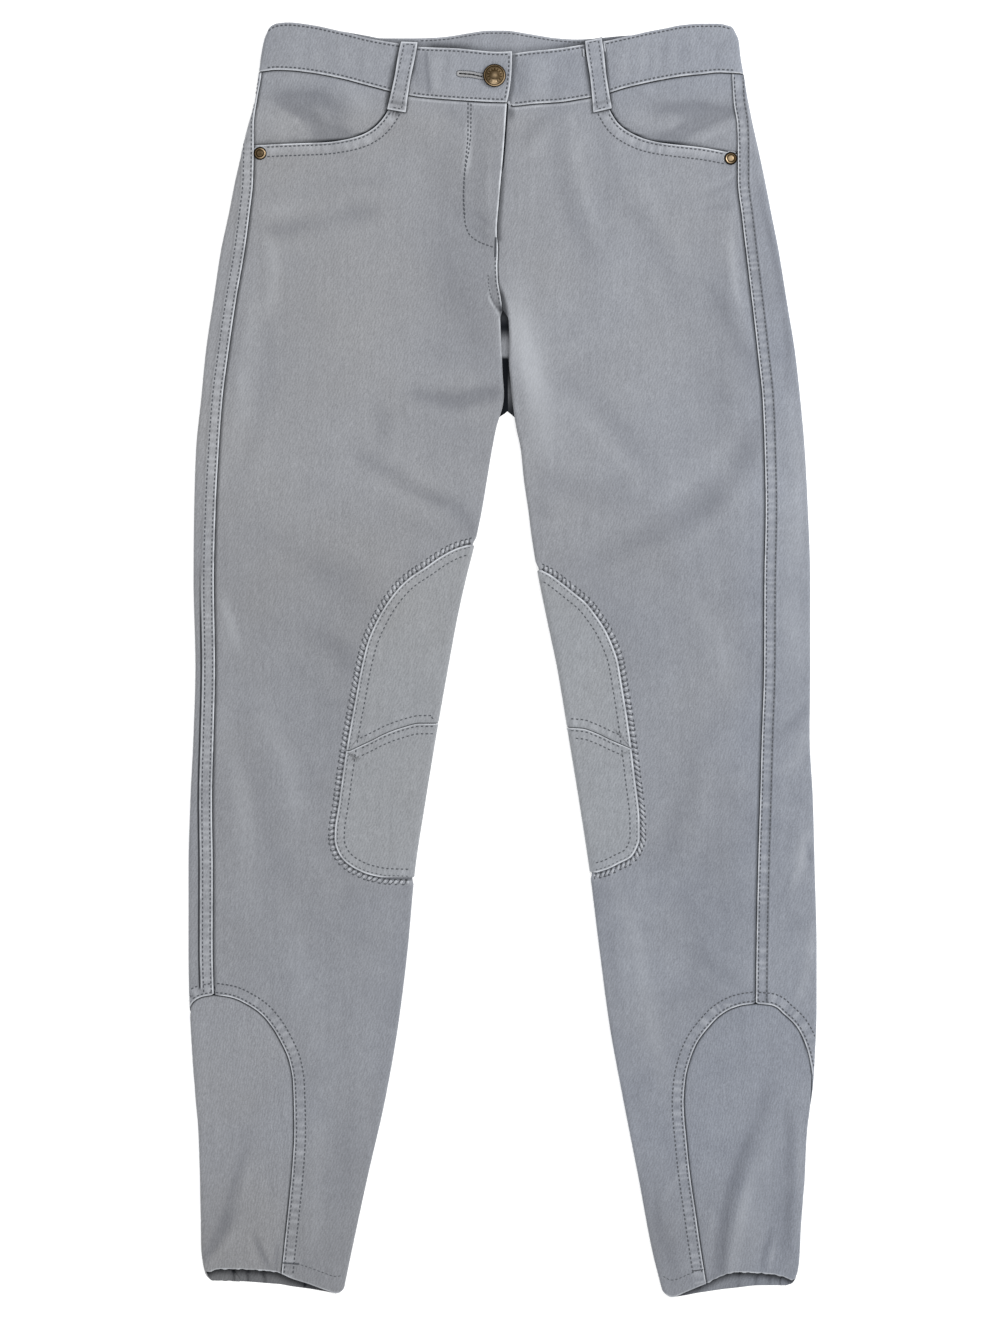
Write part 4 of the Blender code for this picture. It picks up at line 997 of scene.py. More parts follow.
def fold_mark(half, points, upper):
    """How deep the cloth lies in a trough or stands on a ridge, from -1 to 1. The material paints
    shade in the troughs and a highlight, with some fading, on the ridges from it.
    """
    x, y = points[..., 0] * half.sign, points[..., 1]
    return np.clip(creased(x, y, CREASES), -1.5, 1.5) / 1.5 * upper


def inner_shade(half, points):
    """How dark the inside is: seen below the front's hem, and in the slot between the legs, where
    some light falls on one place."""
    x, y = points[..., 0], points[..., 1]
    low, high = (0.42, 0.92) if half is RIGHT else (0.15, 0.85)
    at_hem = blend(high, low, ease(half.hem["front"](x) - y, -1.0, 7.5))
    # the hem's gathers throw narrow shadows
    for place in (214, 203, 190, 158):
        at_hem = at_hem + 0.3 * np.exp(-(((x - place - 0.1 * (y + 500)) / 1.3) ** 2))
    lit = window(y, 241.5, 244.0, 252, 266) + 0.14 * ease(y, 266, 276)
    if half is LEFT:
        lit = lit + 0.4 * np.exp(-(((y - 214) / 11) ** 2))
    return np.where(y > 0, 1 - lit, np.minimum(at_hem, 1.0))


# The right front's edge where it turns down above the slot
SLOT_EDGE = table("height x", "305 -11, 293 -9.6, 286.4 -7.6, 280.6 -4, 276 -1.4")["x"]

# The pale chain between the fly's two rows
FLY_CHAIN = ((-26.0, 447), (-26.1, 420), (-27.9, 400), (-29.6, 388))

TURN_SHARES = np.array((1, 0.975, 0.94, 0.88, 0.8, 0.7, 0.58, 0.46, 0.34, 0.22, 0.1))


def patch_line(half, y):
    """A line of the front that follows the knee patch's edge and fades out above and below."""
    plain = blend(half.fold_in(y), half.side_edge(y), 0.42)
    low, high = half.patch_bottom, half.patch_top
    inside = window(y, low - 45, low, high, high + 60)
    line = blend(plain, half.patch(y), inside)
    return np.clip(line, half.fold_in(y) + 3.0, half.side_edge(y) - 24.0)


def front_point(half, turn, section, share, y, creases):
    """Points of the front. Its sections run round the inner edge (0), across to the patch line
    (1), on across (2) and over the close lines at the outer edge (3)."""
    folded = EDGE_FOLDED["folded"](y)
    flat_start, start = half.centre_front(y), half.fold_in(y)
    fly = FLY_RISE * ease(y, FLY_END - 12, FLY_END) if half.name == "right" else 0.0 * y
    under = UNDER * ease(y, half.arch_top, half.arch_top + 8)
    edge = half.side_edge(y)
    middle = patch_line(half, y)
    close = edge - CLOSE_LINED
    u = np.where(section == 1, blend(start, middle, share), blend(middle, close, share))
    u = np.where(section == 3, close + share * (CLOSE_LINED + under - CURVED_GAP / 2), u)
    u = np.where(section == 0, start - turn * np.radians(EDGE_TURN["angle"](y)) * FOLD, u)
    rise = fly * (1 - ease(u - flat_start, EDGE_STRIP, FLY_WIDTH + EDGE_STRIP))
    sink = UNDER_SINK * ease(u - edge, -2.2, 0.2) * (under > 0) * (section == 3)
    turned, out = half.ring(u, y, rise - sink, creases)
    flat = np.stack((flat_start + (1 - turn) * EDGE_STRIP, y, TOP + fly + 0 * turn), axis=-1)
    on_strip = ((section == 0) * (1 - folded))[..., None]
    points = blend(turned, flat, on_strip)
    out = blend(out, np.array((0, 0, 1.0)), on_strip)
    return points, out / np.linalg.norm(out, axis=-1, keepdims=True)


def front_columns():
    """The section, turn round the inner edge and share of each column of a front."""
    near_fold = (0, 0.006, 0.012, 0.018, 0.025, 0.033, 0.043, 0.055, 0.07, 0.09, 0.12)
    to_patch = np.concatenate((near_fold, np.linspace(0.165, 0.82, 13), (0.88, 0.93, 0.96, 0.98)))
    across = np.concatenate(((0, 0.012, 0.025, 0.04, 0.06), np.linspace(0.085, 1, 36)[:-1]))
    edge_lines = np.array((*EDGE_LINES, 11.0, 12.8, 14.6, 16.7))
    at_edge = 1 - edge_lines[::-1] / edge_lines[-1]
    section, share = sections(TURN_SHARES, to_patch, across, at_edge)
    return section, np.where(section == 0, share, 0.0), np.where(section == 0, 0.0, share)


def solved(point, stations, columns, low, high):
    """Settles each point's height on its station, then gives points and directions."""
    y = stations + np.zeros(columns)
    for _ in range(ROUNDS):
        found = point(y, creases=False)[0]
        y = fitted(stations, low(found), high(found))
    return point(y, creases=True)


def build_front(half, step):
    section, turn, share = front_columns()
    stations = leg_stations(step, half.side_edge, lambda y: patch_line(half, y))

    def point(y, creases):
        return front_point(half, turn, section, share, y, creases)

    def low(found):
        x, y = found[..., 0], found[..., 1]
        over = np.where(y < BACK_FLANK, np.maximum(x, half.fold_in(y)), x)
        return half.hem["front"](over) + half.hem_corner(x, y)

    def high(found):
        return half.front_top(found[..., 0])

    points, out = solved(point, stations, section.shape[1], low, high)
    x, y = half.sign * points[..., 0], points[..., 1]
    upper = upward(out)
    above_arch = y > half.arch_top
    seam = distance(x, y, half.line(half.seam, half.arch_top, 470))
    arch, arch_run = nearest(x, y, half.arch(half.arch_front, -500))
    mouth, mouth_run = nearest(x, y, half.across(half.mouth, half.mouth_start, 200))
    waist = distance(x, y, half.across(lambda v: half.band["bottom"](half.sign * v), -10, 100))
    hem = distance(x, y, half.across(half.hem["front"], 120, 180))
    centre = np.abs(half.sign * x - half.centre_front(y))
    patch = distance(x, y, half.patch_line())
    off_patch = (half.sign * x > half.patch(y)) | (y > half.patch_top) | (y < half.patch_bottom)
    edging = window(patch, 0.8, 1.6, 4.6, 6.0) * off_patch
    pale = [
        line_of(mouth), line_of(arch) * ~above_arch,
        0.2 * strip_of(mouth) * (1 - ease(mouth, 3, 9)),
        0.35 * line_of(np.abs(waist - 2.4), 0.4, 1.3), 0.5 * line_of(hem), 0.14 * edging,
    ]
    # dark marks are painted shade: under the waistband, beside the lapped side seam, beside the
    # knee patch's edge and beside the belt loop
    dark = [
        0.9 * line_of(waist, 0.5, 1.6), line_of(seam, 0.6, 1.6) * above_arch,
        0.55 * line_of(patch, 0.3, 1.3) * off_patch, half.loop_shadow(x, y) * (y > 420),
    ]
    if half is RIGHT:
        pale.append(1.2 * line_of(centre, 0.7, 1.5) * (y > FRONT_SEAM_FOOT))
        pale.append(0.4 * line_of(distance(x, y, FLY_CHAIN), 0.3, 1.2))
        # above the slot the edge turns down: painted shade in the dart, a painted highlight along
        # its outer edge and painted shade just inside that
        reach = np.interp(y, (SLOT_TOP, 279, 285, 305, 316), (0.6, 3.0, 6.6, 7.8, 5.0))
        inside = (1 - ease(centre, reach - 1.2, reach)) * (y > SLOT_TOP)
        dark.append((0.8 * ease(293 - y, 0, 16) ** 2 + 0.18 * ease(316 - y, 0, 14)) * inside)
        outside = SLOT_EDGE(y) - x
        turning = ease(296 - y, 0, 9) * (y > SLOT_TOP)
        pale.append(0.42 * turning * line_of(np.abs(outside - 1.2), 0.5, 1.8))
        dark.append(0.5 * turning * line_of(np.abs(outside + 0.6), 0.4, 1.2))
        # a painted highlight along the slot's edge, where the cloth turns under
        along = window(y, 234, 246, 272, 277)
        pale.append(0.65 * along * line_of(half.sign * x - half.inner(y), 1.1, 2.0))
    else:
        # painted shade beside the fly's edge and along the centre seam, a painted shadow under the
        # overlapping end's corner and a painted wedge of shade above the slot
        crisp = ease(y, 382, 396)
        dark.append(crisp * line_of(centre, 0.6, 1.9) * (y > FLY_END - 6))
        dark.append(blend(0.6, 0.3, crisp) * line_of(centre, 0.7, 5.0) * (y > FLY_END - 6))
        dark.append(0.5 * (1 - ease(np.hypot(x - 6.5, (y - 438) / 1.8), 0.5, 6.0)))
        dark.append(0.6 * line_of(centre, 0.4, 1.2) * (y > FRONT_SEAM_FOOT))
        depth = ease(312 - y, 0, 34) * (y > SLOT_TOP)
        wedge = 1 - ease(centre, 0.3 + 1.5 * depth, 1.0 + 5.3 * depth)
        dark.append(0.8 * ease(depth, 0.05, 0.7) * wedge)
    on_mouth = strip_of(mouth) * blend(0.9, 0.4, ease(half.sign * x, 120, 150))
    marks = {
        "pale": 0.95 * strongest(pale) * upper,
        "dark": strongest(dark) * upper,
        "strip": np.maximum(on_mouth, strip_of(arch) * ~above_arch) * upper,
        "run": np.where(mouth < 12, mouth_run, arch_run),
        "fold": fold_mark(half, points, upper),
    }
    lay(half, "front", "twill", points, out, marks,
        inside=inner_shade(half, points))


def back_inner_edge(half, y):
    centre = half.sign * CENTRE_BACK["x"](y) - 0.3
    flank = half.inner(BACK_FLANK) + GAP / 2
    inseam = half.fold_in(y) + GAP
    at_point = blend(flank, centre, np.clip((y - BACK_FLANK) / (BACK_POINT - BACK_FLANK), 0, 1))
    below = blend(inseam, flank, np.clip((y - INSEAM_TOP) / (BACK_FLANK - INSEAM_TOP), 0, 1))
    return np.where(y >= BACK_POINT, centre, np.where(y >= BACK_FLANK, at_point, below))


def back_start(half, y):
    on_seam = half.around(half.seam(y), y)
    return np.where(y < half.arch_top, half.arch_back(y), on_seam) + GAP / 2


def back_point(half, section, share, y, creases):
    """Points of the back. Its sections are the lapped strip (0), what runs on round the outer
    fold (1) and what lies across below (2)."""
    start = back_start(half, y)
    turn_end = half.fold_out(y) + math.pi * FOLD
    strip_end = start + CLOSE_LINED
    turned = np.maximum(turn_end, strip_end + 1.0)
    inner = turn_end + half.fold_out(y) - back_inner_edge(half, y)
    u = np.where(section == 0, start + CLOSE_LINED * share, blend(strip_end, turned, share))
    u = np.where(section == 2, blend(turned, inner, share), u)
    lap = LAP_RISE * ease(y, half.arch_top - 1, half.arch_top + 6)
    lift = lap * (1 - ease(u - start, LAP_WIDTH, LAP_WIDTH + 2.4))
    lift = lift * (1 - ease(u - half.fold_out(y), 0.5, 4.5))
    return half.ring(u, y, lift, creases)


def build_back(half, step):
    strip = np.array((*EDGE_LINES[:-1], 8.6, 9.3, 9.8, 10.3, 10.8, 11.4)) / CLOSE_LINED
    section, share = sections(strip, np.linspace(0, 1, 21)[:-1], spread(150.0, 5.0, (0.0,)))
    stations = leg_stations(step, lambda y: back_start(half, y))

    def point(y, creases):
        return back_point(half, section, share, y, creases)

    def high(found):
        x = half.sign * found[..., 0]
        over = np.where(found[..., 2] > LOFT / 2, half.band["bottom"](x), BACK_BAND["bottom"](x))
        return over - GAP

    points, out = solved(point, stations, section.shape[1], half.hem_at, high)
    x, y = half.sign * points[..., 0], points[..., 1]
    upper = upward(out)
    seam, seam_run = nearest(x, y, half.line(half.seam, half.arch_top, 475))
    arch, arch_run = nearest(x, y, half.arch(half.arch_back, -330))
    lapped = y > half.arch_top
    pale = [1.25 * line_of(seam), line_of(arch) * (y < half.arch_top)]
    # dark marks are painted shade: under the waistband and beside the lapped strip's edges
    dark = [line_of(half.band["bottom"](x) - y, 0.5, 1.7)]
    if half is RIGHT:
        # the strip's outer side is a second turned edge from the hip down, pale with wear and a
        # painted highlight, with painted shade beyond it
        second = ease(-y, -90, -20) * (y > half.arch_top + 4)
        pale.append(0.12 * strip_of(seam) * lapped)
        pale.append(0.7 * second * line_of(np.abs(seam - 9.7), 0.4, 1.1))
        dark.append(0.9 * second * line_of(np.abs(seam - 11.1), 0.4, 1.2))
    else:
        dark.append(0.4 * line_of(np.abs(seam - 8.7), 0.4, 1.5) * lapped)
    marks = {
        "pale": 0.95 * strongest(pale) * upper,
        "dark": strongest(dark) * upper,
        "strip": np.maximum(strip_of(seam) * lapped, strip_of(arch)) * upper,
        "run": np.where(seam < arch, seam_run, arch_run),
        "fold": fold_mark(half, points, upper),
    }
    lay(half, "back", "twill", points, out, marks, inside=inner_shade(half, points))


def build_insert(half, step):
    """The stretch insert, which runs on under the lapped panels on both sides."""
    start_lines = (0, 1.2, 2.4, 3.4, 4.2, 5.0, 5.8, 6.6, 7.6, 9.0)
    columns = spread(100.0, 1.6, start_lines, (0, 1.5, 3, 4.5, 6))
    hem = HEM_STATION + np.array(HEM_LINES)
    rows = stations_along(LOW, half.arch_top - 0.25, step, half.arch_front, half.arch_back)
    stations = np.concatenate((hem, rows))[:, None]

    def point(y, creases):
        front, back = half.arch_front(y), half.arch_back(y)
        turn_end = half.fold_out(y) + math.pi * FOLD
        u = blend(front - UNDER, back + UNDER, columns[None, :])
        covered = np.maximum(1 - ease(u - front, -0.4, 3.0), 1 - ease(back - u, -0.4, 3.0))
        plain = INSERT_SINK * ease(turn_end - u, FOLD, math.pi * FOLD)
        elastic = 0.28 * np.sin(u * 1.15) * np.sin(u * 0.41 + 1.0) * (1 - ease(y, -492, -478))
        lift = elastic * (u < half.fold_out(y)) - blend(plain, INSERT_UNDER_SINK, covered)
        return half.ring(u, y, lift, creases)

    def low(found):
        x = found[..., 0]
        return half.hem_at(found, 0.45 * np.sin(0.9 * x) * np.sin(0.23 * x + 0.8))

    points, out = solved(point, stations, len(columns), low, lambda p: HIGH + 0 * p[..., 0])
    x, y = half.sign * points[..., 0], points[..., 1]
    upper = upward(out)
    front = distance(x, y, half.arch(half.arch_front, -505))
    back = distance(x, y, half.arch(half.arch_back, -330))
    hem_line = y - half.hem["front"](points[..., 0])
    # painted shade beside the lapped edges of the panels over it
    marks = {
        "pale": 0.7 * line_of(hem_line, 0.5, 1.3) * upper,
        "dark": 0.75 * np.maximum(line_of(front, 0.5, 1.5), line_of(back, 0.5, 1.5)) * upper,
        "fold": fold_mark(half, points, upper),
    }
    lay(half, "ankle_insert", "stretch_knit", points, out, marks,
        inside=inner_shade(half, points))


def build_patch(half, part, step):
    """The knee patch above or below the seam across the knee, round the leg's inner fold."""
    upper_part = part == "upper"
    section, share = sections(np.linspace(1, 0, 14)[:-1], spread(70.0, 2.4, (0.0,)))
    top, bottom, hinge, seam_station = half.patch_top - 1.5, half.patch_bottom + 1.0, -25.0, -60.0
    if upper_part:
        fine = seam_station + np.array((*EDGE_LINES, 12, 16, 20, 25, 30))
        rows = stations_along(hinge, top - 1.6, step, half.patch)
        stations = np.concatenate((fine, rows, top - np.array((1.0, 0.5, 0.2, 0.0))))
    else:
        hinge = -100.0
        fine = seam_station - np.array((*EDGE_LINES, 12, 16, 20, 25, 30, 35))[::-1]
        rows = stations_along(bottom + 1.6, hinge, step, half.patch)
        stations = np.concatenate((bottom + np.array((0.0, 0.2, 0.5, 1.0)), rows, fine))
    stations = stations[:, None]
    lift_flat = WALL / 2 + PATCH_GAP + PATCH_WALL / 2

    def point(y, creases):
        start = half.fold_in(y)
        turned = start - share * math.radians(PATCH_FOLD) * FOLD
        u = np.where(section == 0, turned, blend(start, half.patch(y), share))
        edge = distance(half.sign * u, y, half.patch_line())
        dip = 0.4 * (1 - ease(edge, 0, 2.5))
        seam_gap = y - half.knee_seam(u)
        # the lower part is lapped over the upper one
        lap = 0.25 * (1 - ease(np.abs(seam_gap), 0, 3.0)) * (-1 if upper_part else 1)
        return half.ring(u, y, lift_flat - dip + lap, creases)

    y = stations + 0 * share
    gap = GAP / 2
    for _ in range(ROUNDS):
        seam = half.knee_seam(point(y, False)[0][..., 0])
        scale = (hinge - seam + (-gap if upper_part else gap)) / (hinge - seam_station)
        near_seam = stations < hinge if upper_part else stations > hinge
        y = np.where(near_seam, hinge - (hinge - stations) * scale, stations)
    points, out = point(y, True)
    x, y = half.sign * points[..., 0], points[..., 1]
    upper = upward(out)
    edge, edge_run = nearest(x, y, half.patch_line())
    seam = np.abs(y - half.knee_seam(points[..., 0]))
    on_edge = 0.6 * strip_of(edge * 1.15)
    # the upper part gets painted shade under the lower part's lapped edge
    marks = {
        "pale": np.maximum(line_of(edge), 0.0 if upper_part else 0.75 * line_of(seam)) * upper,
        "dark": 0.6 * line_of(seam, 0.3, 1.2) * upper if upper_part else 0.0,
        "strip": np.maximum(on_edge, 0.7 * strip_of(seam)) * upper,
        "run": np.where(edge < seam, edge_run, np.abs(x)),
        "fold": fold_mark(half, points, upper),
    }
    lay(half, "patch_" + part, "patch_twill", points, out, marks,
        PATCH_WALL)


def build_pocket_facing(half, inner_end):
    """The hip yoke seen in the pocket's mouth; it runs on under the front and the side seam."""
    columns = np.concatenate((np.array(EDGE_LINES) / 120.0, np.linspace(0.1, 1, 46)))[None, :]
    rows = np.concatenate((np.linspace(0, 0.94, 26), (0.965, 0.985, 0.994, 1.0)))[:, None]
    mouth_path = half.across(half.mouth, half.mouth_start, 205, 1.5)

    def point(y, creases):
        end = half.around(half.seam(y), y) + UNDER
        u = blend(inner_end, end, columns)
        x = np.minimum(u, half.outer(y))
        away = distance(half.sign * x, y, mouth_path) * np.where(y > half.mouth(x), 1, -1)
        sink = blend(FACING_SINK, 0.55, ease(away, 0.5, 8.0))
        return half.ring(u, y, -sink, creases), x

    y = 430.0 + 0 * (rows + columns)
    for _ in range(ROUNDS):
        x = point(y, False)[1]
        y = blend(half.mouth(x) - FACING_UNDER, half.band["bottom"](half.sign * x) - GAP, rows)
    points, out = point(y, True)[0]
    x, y = half.sign * points[..., 0], points[..., 1]
    mouth = distance(x, y, mouth_path)
    waist = half.band["bottom"](x) - y
    seam = distance(x, y, half.line(half.seam, 400, 475, 3.0))
    # painted shade under the pocket mouth's edge and the waistband, beside the side seam and beside
    # the belt loop
    dark = strongest((
        line_of(mouth, 0.9, 2.4), 0.9 * line_of(waist, 0.5, 1.7), 0.6 * line_of(seam, 0.5, 1.5),
        half.loop_shadow(x, y),
    ))
    marks = {"dark": dark * (out[..., 2] > 0.3), "fold": fold_mark(half, points, 1.0)}
    lay(half, "pocket_facing", "twill", points, out, marks)


def hole_edge(x, upper):
    """Height of the buttonhole's edge at x."""
    middle = blend(BUTTON_Y, BUTTON_Y + 1.9, (BUTTON_X - x) / (BUTTON_X - HOLE_START))
    middle = middle - 1.2 * np.exp(-(((x - BUTTON_X + 10) / 6) ** 2))
    eye = 1 - ease(np.abs(x - BUTTON_X), SHANK_RADIUS, SHANK_RADIUS + 4.5)
    height = blend(HOLE_SLIT, HOLE_EYE, eye)
    return middle + (height if upper else -height)


def band_height(edges, x, v):
    return blend(edges["bottom"](x), edges["top"](x), v)


def band_ripple(x, v):
    rise = 0 * (x + v)
    for place, width, depth in BAND_RIPPLES:
        slanted = x - place + 5.0 * (v - 0.5) * math.sin(place)
        rise = rise + depth * np.exp(-((2 * slanted / width) ** 2))
    return rise * window(v, 0.05, 0.25, 0.75, 0.95)


def overlap_end(v):
    """Where the overlapping end stops, at this share of the band's depth from its lower edge."""
    return OVERLAP_END - OVERLAP_CURL * (1 - v) ** 2.5


def band_front(half, end, shares, v):
    """The waistband's front on one half, from its end to the side fold."""
    edges = half.band
    y = 480.0 + 0 * (shares + v)
    for _ in range(ROUNDS):
        x = blend(end, half.sign * (half.outer(y) - BAND_LOFT / 2), shares)
        y = band_height(edges, x, v)
    if half is RIGHT:
        in_hole = window(x, HOLE_START - 6, HOLE_START, HOLE_END, HOLE_END + 4)
        low, high = HOLE_LEVELS
        lower, higher = hole_edge(x, False), hole_edge(x, True)
        bottom, top = edges["bottom"](x), edges["top"](x)
        through_hole = np.where(v < low, blend(bottom, lower, v / low),
                                np.where(v > high, blend(higher, top, (v - high) / (1 - high)),
                                         blend(lower, higher, (v - low) / (high - low))))
        y = blend(y, through_hole, in_hole)
        level = OVERLAP_RISE * ease(x, UNDERLAP_END - LAP_EASE, UNDERLAP_END)
    else:
        level = -UNDERLAP_SINK * (1 - ease(x, OVERLAP_END + 2, OVERLAP_END + LAP_EASE))
    fade = ease(np.abs(x), 26, 40) if half is RIGHT else ease(x, 9, 14)
    fade = fade * ease(half.outer(y) - np.abs(x), 3, 10)
    z = BAND_TOP + level + band_ripple(x, v) * fade
    points = np.stack((x, y, z + 0 * x), axis=-1)
    return points, all_facing(1.0, points)


def band_fold(half, shares, v):
    """The waistband round a side, from its front to its back."""
    angle = math.pi * shares + 0 * v
    out = np.stack((half.sign * np.sin(angle), 0 * angle, np.cos(angle)), axis=-1)
    y = 480.0 + 0 * angle
    for _ in range(ROUNDS):
        x = half.sign * (half.outer(y) - BAND_LOFT / 2)
        over = x + BAND_FOLD * out[..., 0]
        front, back = (band_height(edges, over, v) for edges in (half.band, BACK_BAND))
        y = blend(front, back, ease(shares, 0, 1))
    return np.stack((x, y, BAND_LOFT / 2 + 0 * x), axis=-1) + out * BAND_FOLD, out


def band_back(shares, v):
    y = 480.0 + 0 * (shares + v)
    for _ in range(ROUNDS):
        low = -(RIGHT.outer(y) - BAND_LOFT / 2)
        x = blend(low, LEFT.outer(y) - BAND_LOFT / 2, shares)
        y = band_height(BACK_BAND, x, v)
    points = np.stack((x, y, BAND_WALL / 2 + 0 * x), axis=-1)
    return points, all_facing(-1.0, points)


def build_waistband(step):
    """One band round the waist, from the overlapping end to the underlapping one."""
    low, high = HOLE_LEVELS
    v = np.concatenate((
        np.array(EDGE_LINES) / BAND_DEPTH, np.linspace(0.28, low, 5), np.linspace(low, high, 5)[1:],
        np.linspace(high, 0.73, 4)[1:], 1 - np.array(EDGE_LINES)[::-1] / BAND_DEPTH,
    ))[:, None]
    length = OVERLAP_END + float(RIGHT.outer(480)) - BAND_LOFT / 2
    near_end = np.array(EDGE_LINES[:9]) / length
    hole = (OVERLAP_END - np.linspace(HOLE_END, HOLE_START, 41)) / length
    rest = np.linspace(hole[-1], 1, int(150 / step))[1:]
    rest = np.unique(np.concatenate((rest, (OVERLAP_END + np.arange(55.4, 65, 0.85)) / length)))
    right_shares = np.concatenate((near_end, (0.035, 0.045), hole, rest))[None, :]
    left_length = float(LEFT.outer(480)) - BAND_LOFT / 2 - UNDERLAP_END
    left_shares = np.concatenate((
        np.array(EDGE_LINES[:9]) / left_length, np.linspace(0.03, 1, int(left_length / step))
    ))[None, :]
    turn = np.linspace(0, 1, 13)[None, 1:-1]
    parts = (
        band_front(RIGHT, overlap_end(v), right_shares, v),
        band_fold(RIGHT, turn, v),
        band_back(np.linspace(0, 1, 90)[None, :], v),
        band_fold(LEFT, turn[:, ::-1], v),
        band_front(LEFT, UNDERLAP_END, left_shares[:, ::-1], v),
    )
    points = np.concatenate([p for p, _ in parts], axis=1)
    out = np.concatenate([o for _, o in parts], axis=1)
    upper = upward(out)
    rise = edge_distance(points)
    x = points[..., 0]
    gap = np.zeros((len(v) - 1, points.shape[1] - 1), bool)
    in_hole = (v[:-1, 0] > low - 1e-6) & (v[1:, 0] < high + 1e-6)
    first = len(near_end) + 2
    gap[np.ix_(in_hole, range(first, first + hole.size - 1))] = True
    ripples = np.clip(band_ripple(x, v), -1, 1)
    ripples = ripples * ease(np.abs(x + 13), 12, 24)
    # one sharp fold between the right belt loop and the buttonhole, with painted shade in it
    fold_x = np.interp(points[..., 1], (453, 462, 471, 488), (-58.7, -58.7, -59.9, -60.7))
    sharp = np.exp(-(((x - fold_x) / 1.15) ** 2)) * window(v, 0.04, 0.14, 0.86, 0.96)
    ripples = np.maximum(ripples - 1.1 * sharp, -1)
    at_side = ease(np.abs(x), 78, 110) * (v > 0.5)
    # painted shadows beside the belt loops and past the overlapping end; the ripples get painted
    # shade in their troughs and a painted highlight on their ridges
    beside_loop = np.maximum(*(half.loop_shadow(x, points[..., 1]) for half in HALVES))
    past_end = line_of(np.abs(x - overlap_end(v) - 1.0), 0.8, 3.4) * (points[..., 2] < 4.9)
    marks = {
        "pale": 0.85 * blend(1.0, 0.2, at_side) * line_of(rise) * upper,
        "dark": np.maximum(beside_loop, 0.6 * past_end) * upper,
        "strip": 0.4 * (1 - ease(rise, 2.5, 5.0)) * upper,
        "run": x + 0.6 * points[..., 1],
        "fold": ripples * upper,
    }
    made = add_cloth("waistband_cloth", points, out, BAND_WALL, twill(), marks, gap)
    declare("waistband", "", made)


def build_band_facing():
    """The inside of the back's waistband, which shows above the front."""
    v = blend(0.06, 0.985, spread(38.0, 2.2))[:, None]
    shares = blend(0.03, 0.97, spread(360.0, 3.0))[None, :]
    points, out = band_back(shares, v)
    sag = 0.35 * np.sin(points[..., 0] / 17.0) * np.sin(points[..., 0] / 41.0 + 1.0)
    middle = BAND_WALL + GAP + FACING_WALL / 2 + 0.35
    points[..., 2] = middle + sag * window(v, 0.1, 0.4, 0.8, 0.97)
    rise = edge_distance(points)
    x = points[..., 0]
    front_edge = np.where(x < OVERLAP_END, RIGHT_BAND["top"](x), LEFT_BAND["top"](x))
    # painted shade just above the front's top edge, deeper in two hollows, which also take painted
    # shade through the fold mark while the sag's rises take a painted highlight
    hollow = window(x, -64, -54, -40, -12) + 0.6 * ease(x, 30, 62)
    marks = {
        "pale": 0.3 * line_of(rise, 0.6, 1.3),
        "dark": blend(0.35, 0.8, hollow) * (1 - ease(points[..., 1] - front_edge, 0.0, 7.0)),
        "fold": 0.5 * sag - 0.3 * hollow,
    }
    made = add_cloth("waistband_facing_cloth", points, -out, FACING_WALL, twill(), marks)
    declare("waistband_facing", "", made)


def build_belt_loop(half, top_x, foot_x, top_y, foot_y, width, top_tilt, foot_tilt):
    """A folded strip over the waistband, from its top edge to a foot below its seam."""
    seam_y = float(half.band["bottom"](half.sign * (top_x + foot_x) / 2))
    rest = LOOP_WALL / 2 + GAP
    on_panel = LOFT - BAND_LOFT
    over_seam = (top_y - seam_y) / (top_y - foot_y)
    profile = through(
        (0.0, 0.12, 0.3, 0.5, over_seam, 0.88, 1.0),
        (rest, rest + 0.3 * LOOP_BOW, rest + LOOP_BOW, rest + LOOP_BOW, rest + 0.35 * LOOP_BOW,
         rest + on_panel + 0.25, rest + on_panel),
    )
    length = top_y - foot_y
    share = spread(length, 1.4, EDGE_LINES[:8], EDGE_LINES[:8])[:, None]
    across = 2 * spread(width, 1.0, EDGE_LINES[:8], EDGE_LINES[:8])[None, :] - 1
    flare = 0.5 * width * (1 + 0.1 * ease(share, 0.8, 1.0)) + 0.25 * np.sin(share * 9.0) + 0.35
    x = blend(top_x, foot_x, share) + across * flare
    y = blend(top_y, foot_y, share) + across * blend(top_tilt, foot_tilt, share)
    hem_roll = 0.22 * np.exp(-(((np.abs(across) - 0.72) / 0.16) ** 2))
    z = BAND_LOFT + profile(share) + 0.15 * (1 - np.abs(across)) + hem_roll
    points = np.stack((x, y, z), axis=-1)
    rise = edge_distance(points)
    # painted shade as a dark outline round the loop's edge and along the foot's tuck
    foot_tuck = line_of(np.abs(share - 0.885) * length, 0.4, 1.4)
    marks = {
        "pale": 0.8 * line_of(rise, 1.3, 2.1) * ease(rise, 0.3, 0.6),
        "dark": np.maximum(0.35 * foot_tuck, 0.9 * line_of(rise, 0.3, 0.6)),
        "strip": 0.5 * ease(rise, 1.0, 2.5),
        "run": share * length,
    }
    lay(half, "belt_loop", "twill", points, all_facing(1.0, points), marks,
        LOOP_WALL)


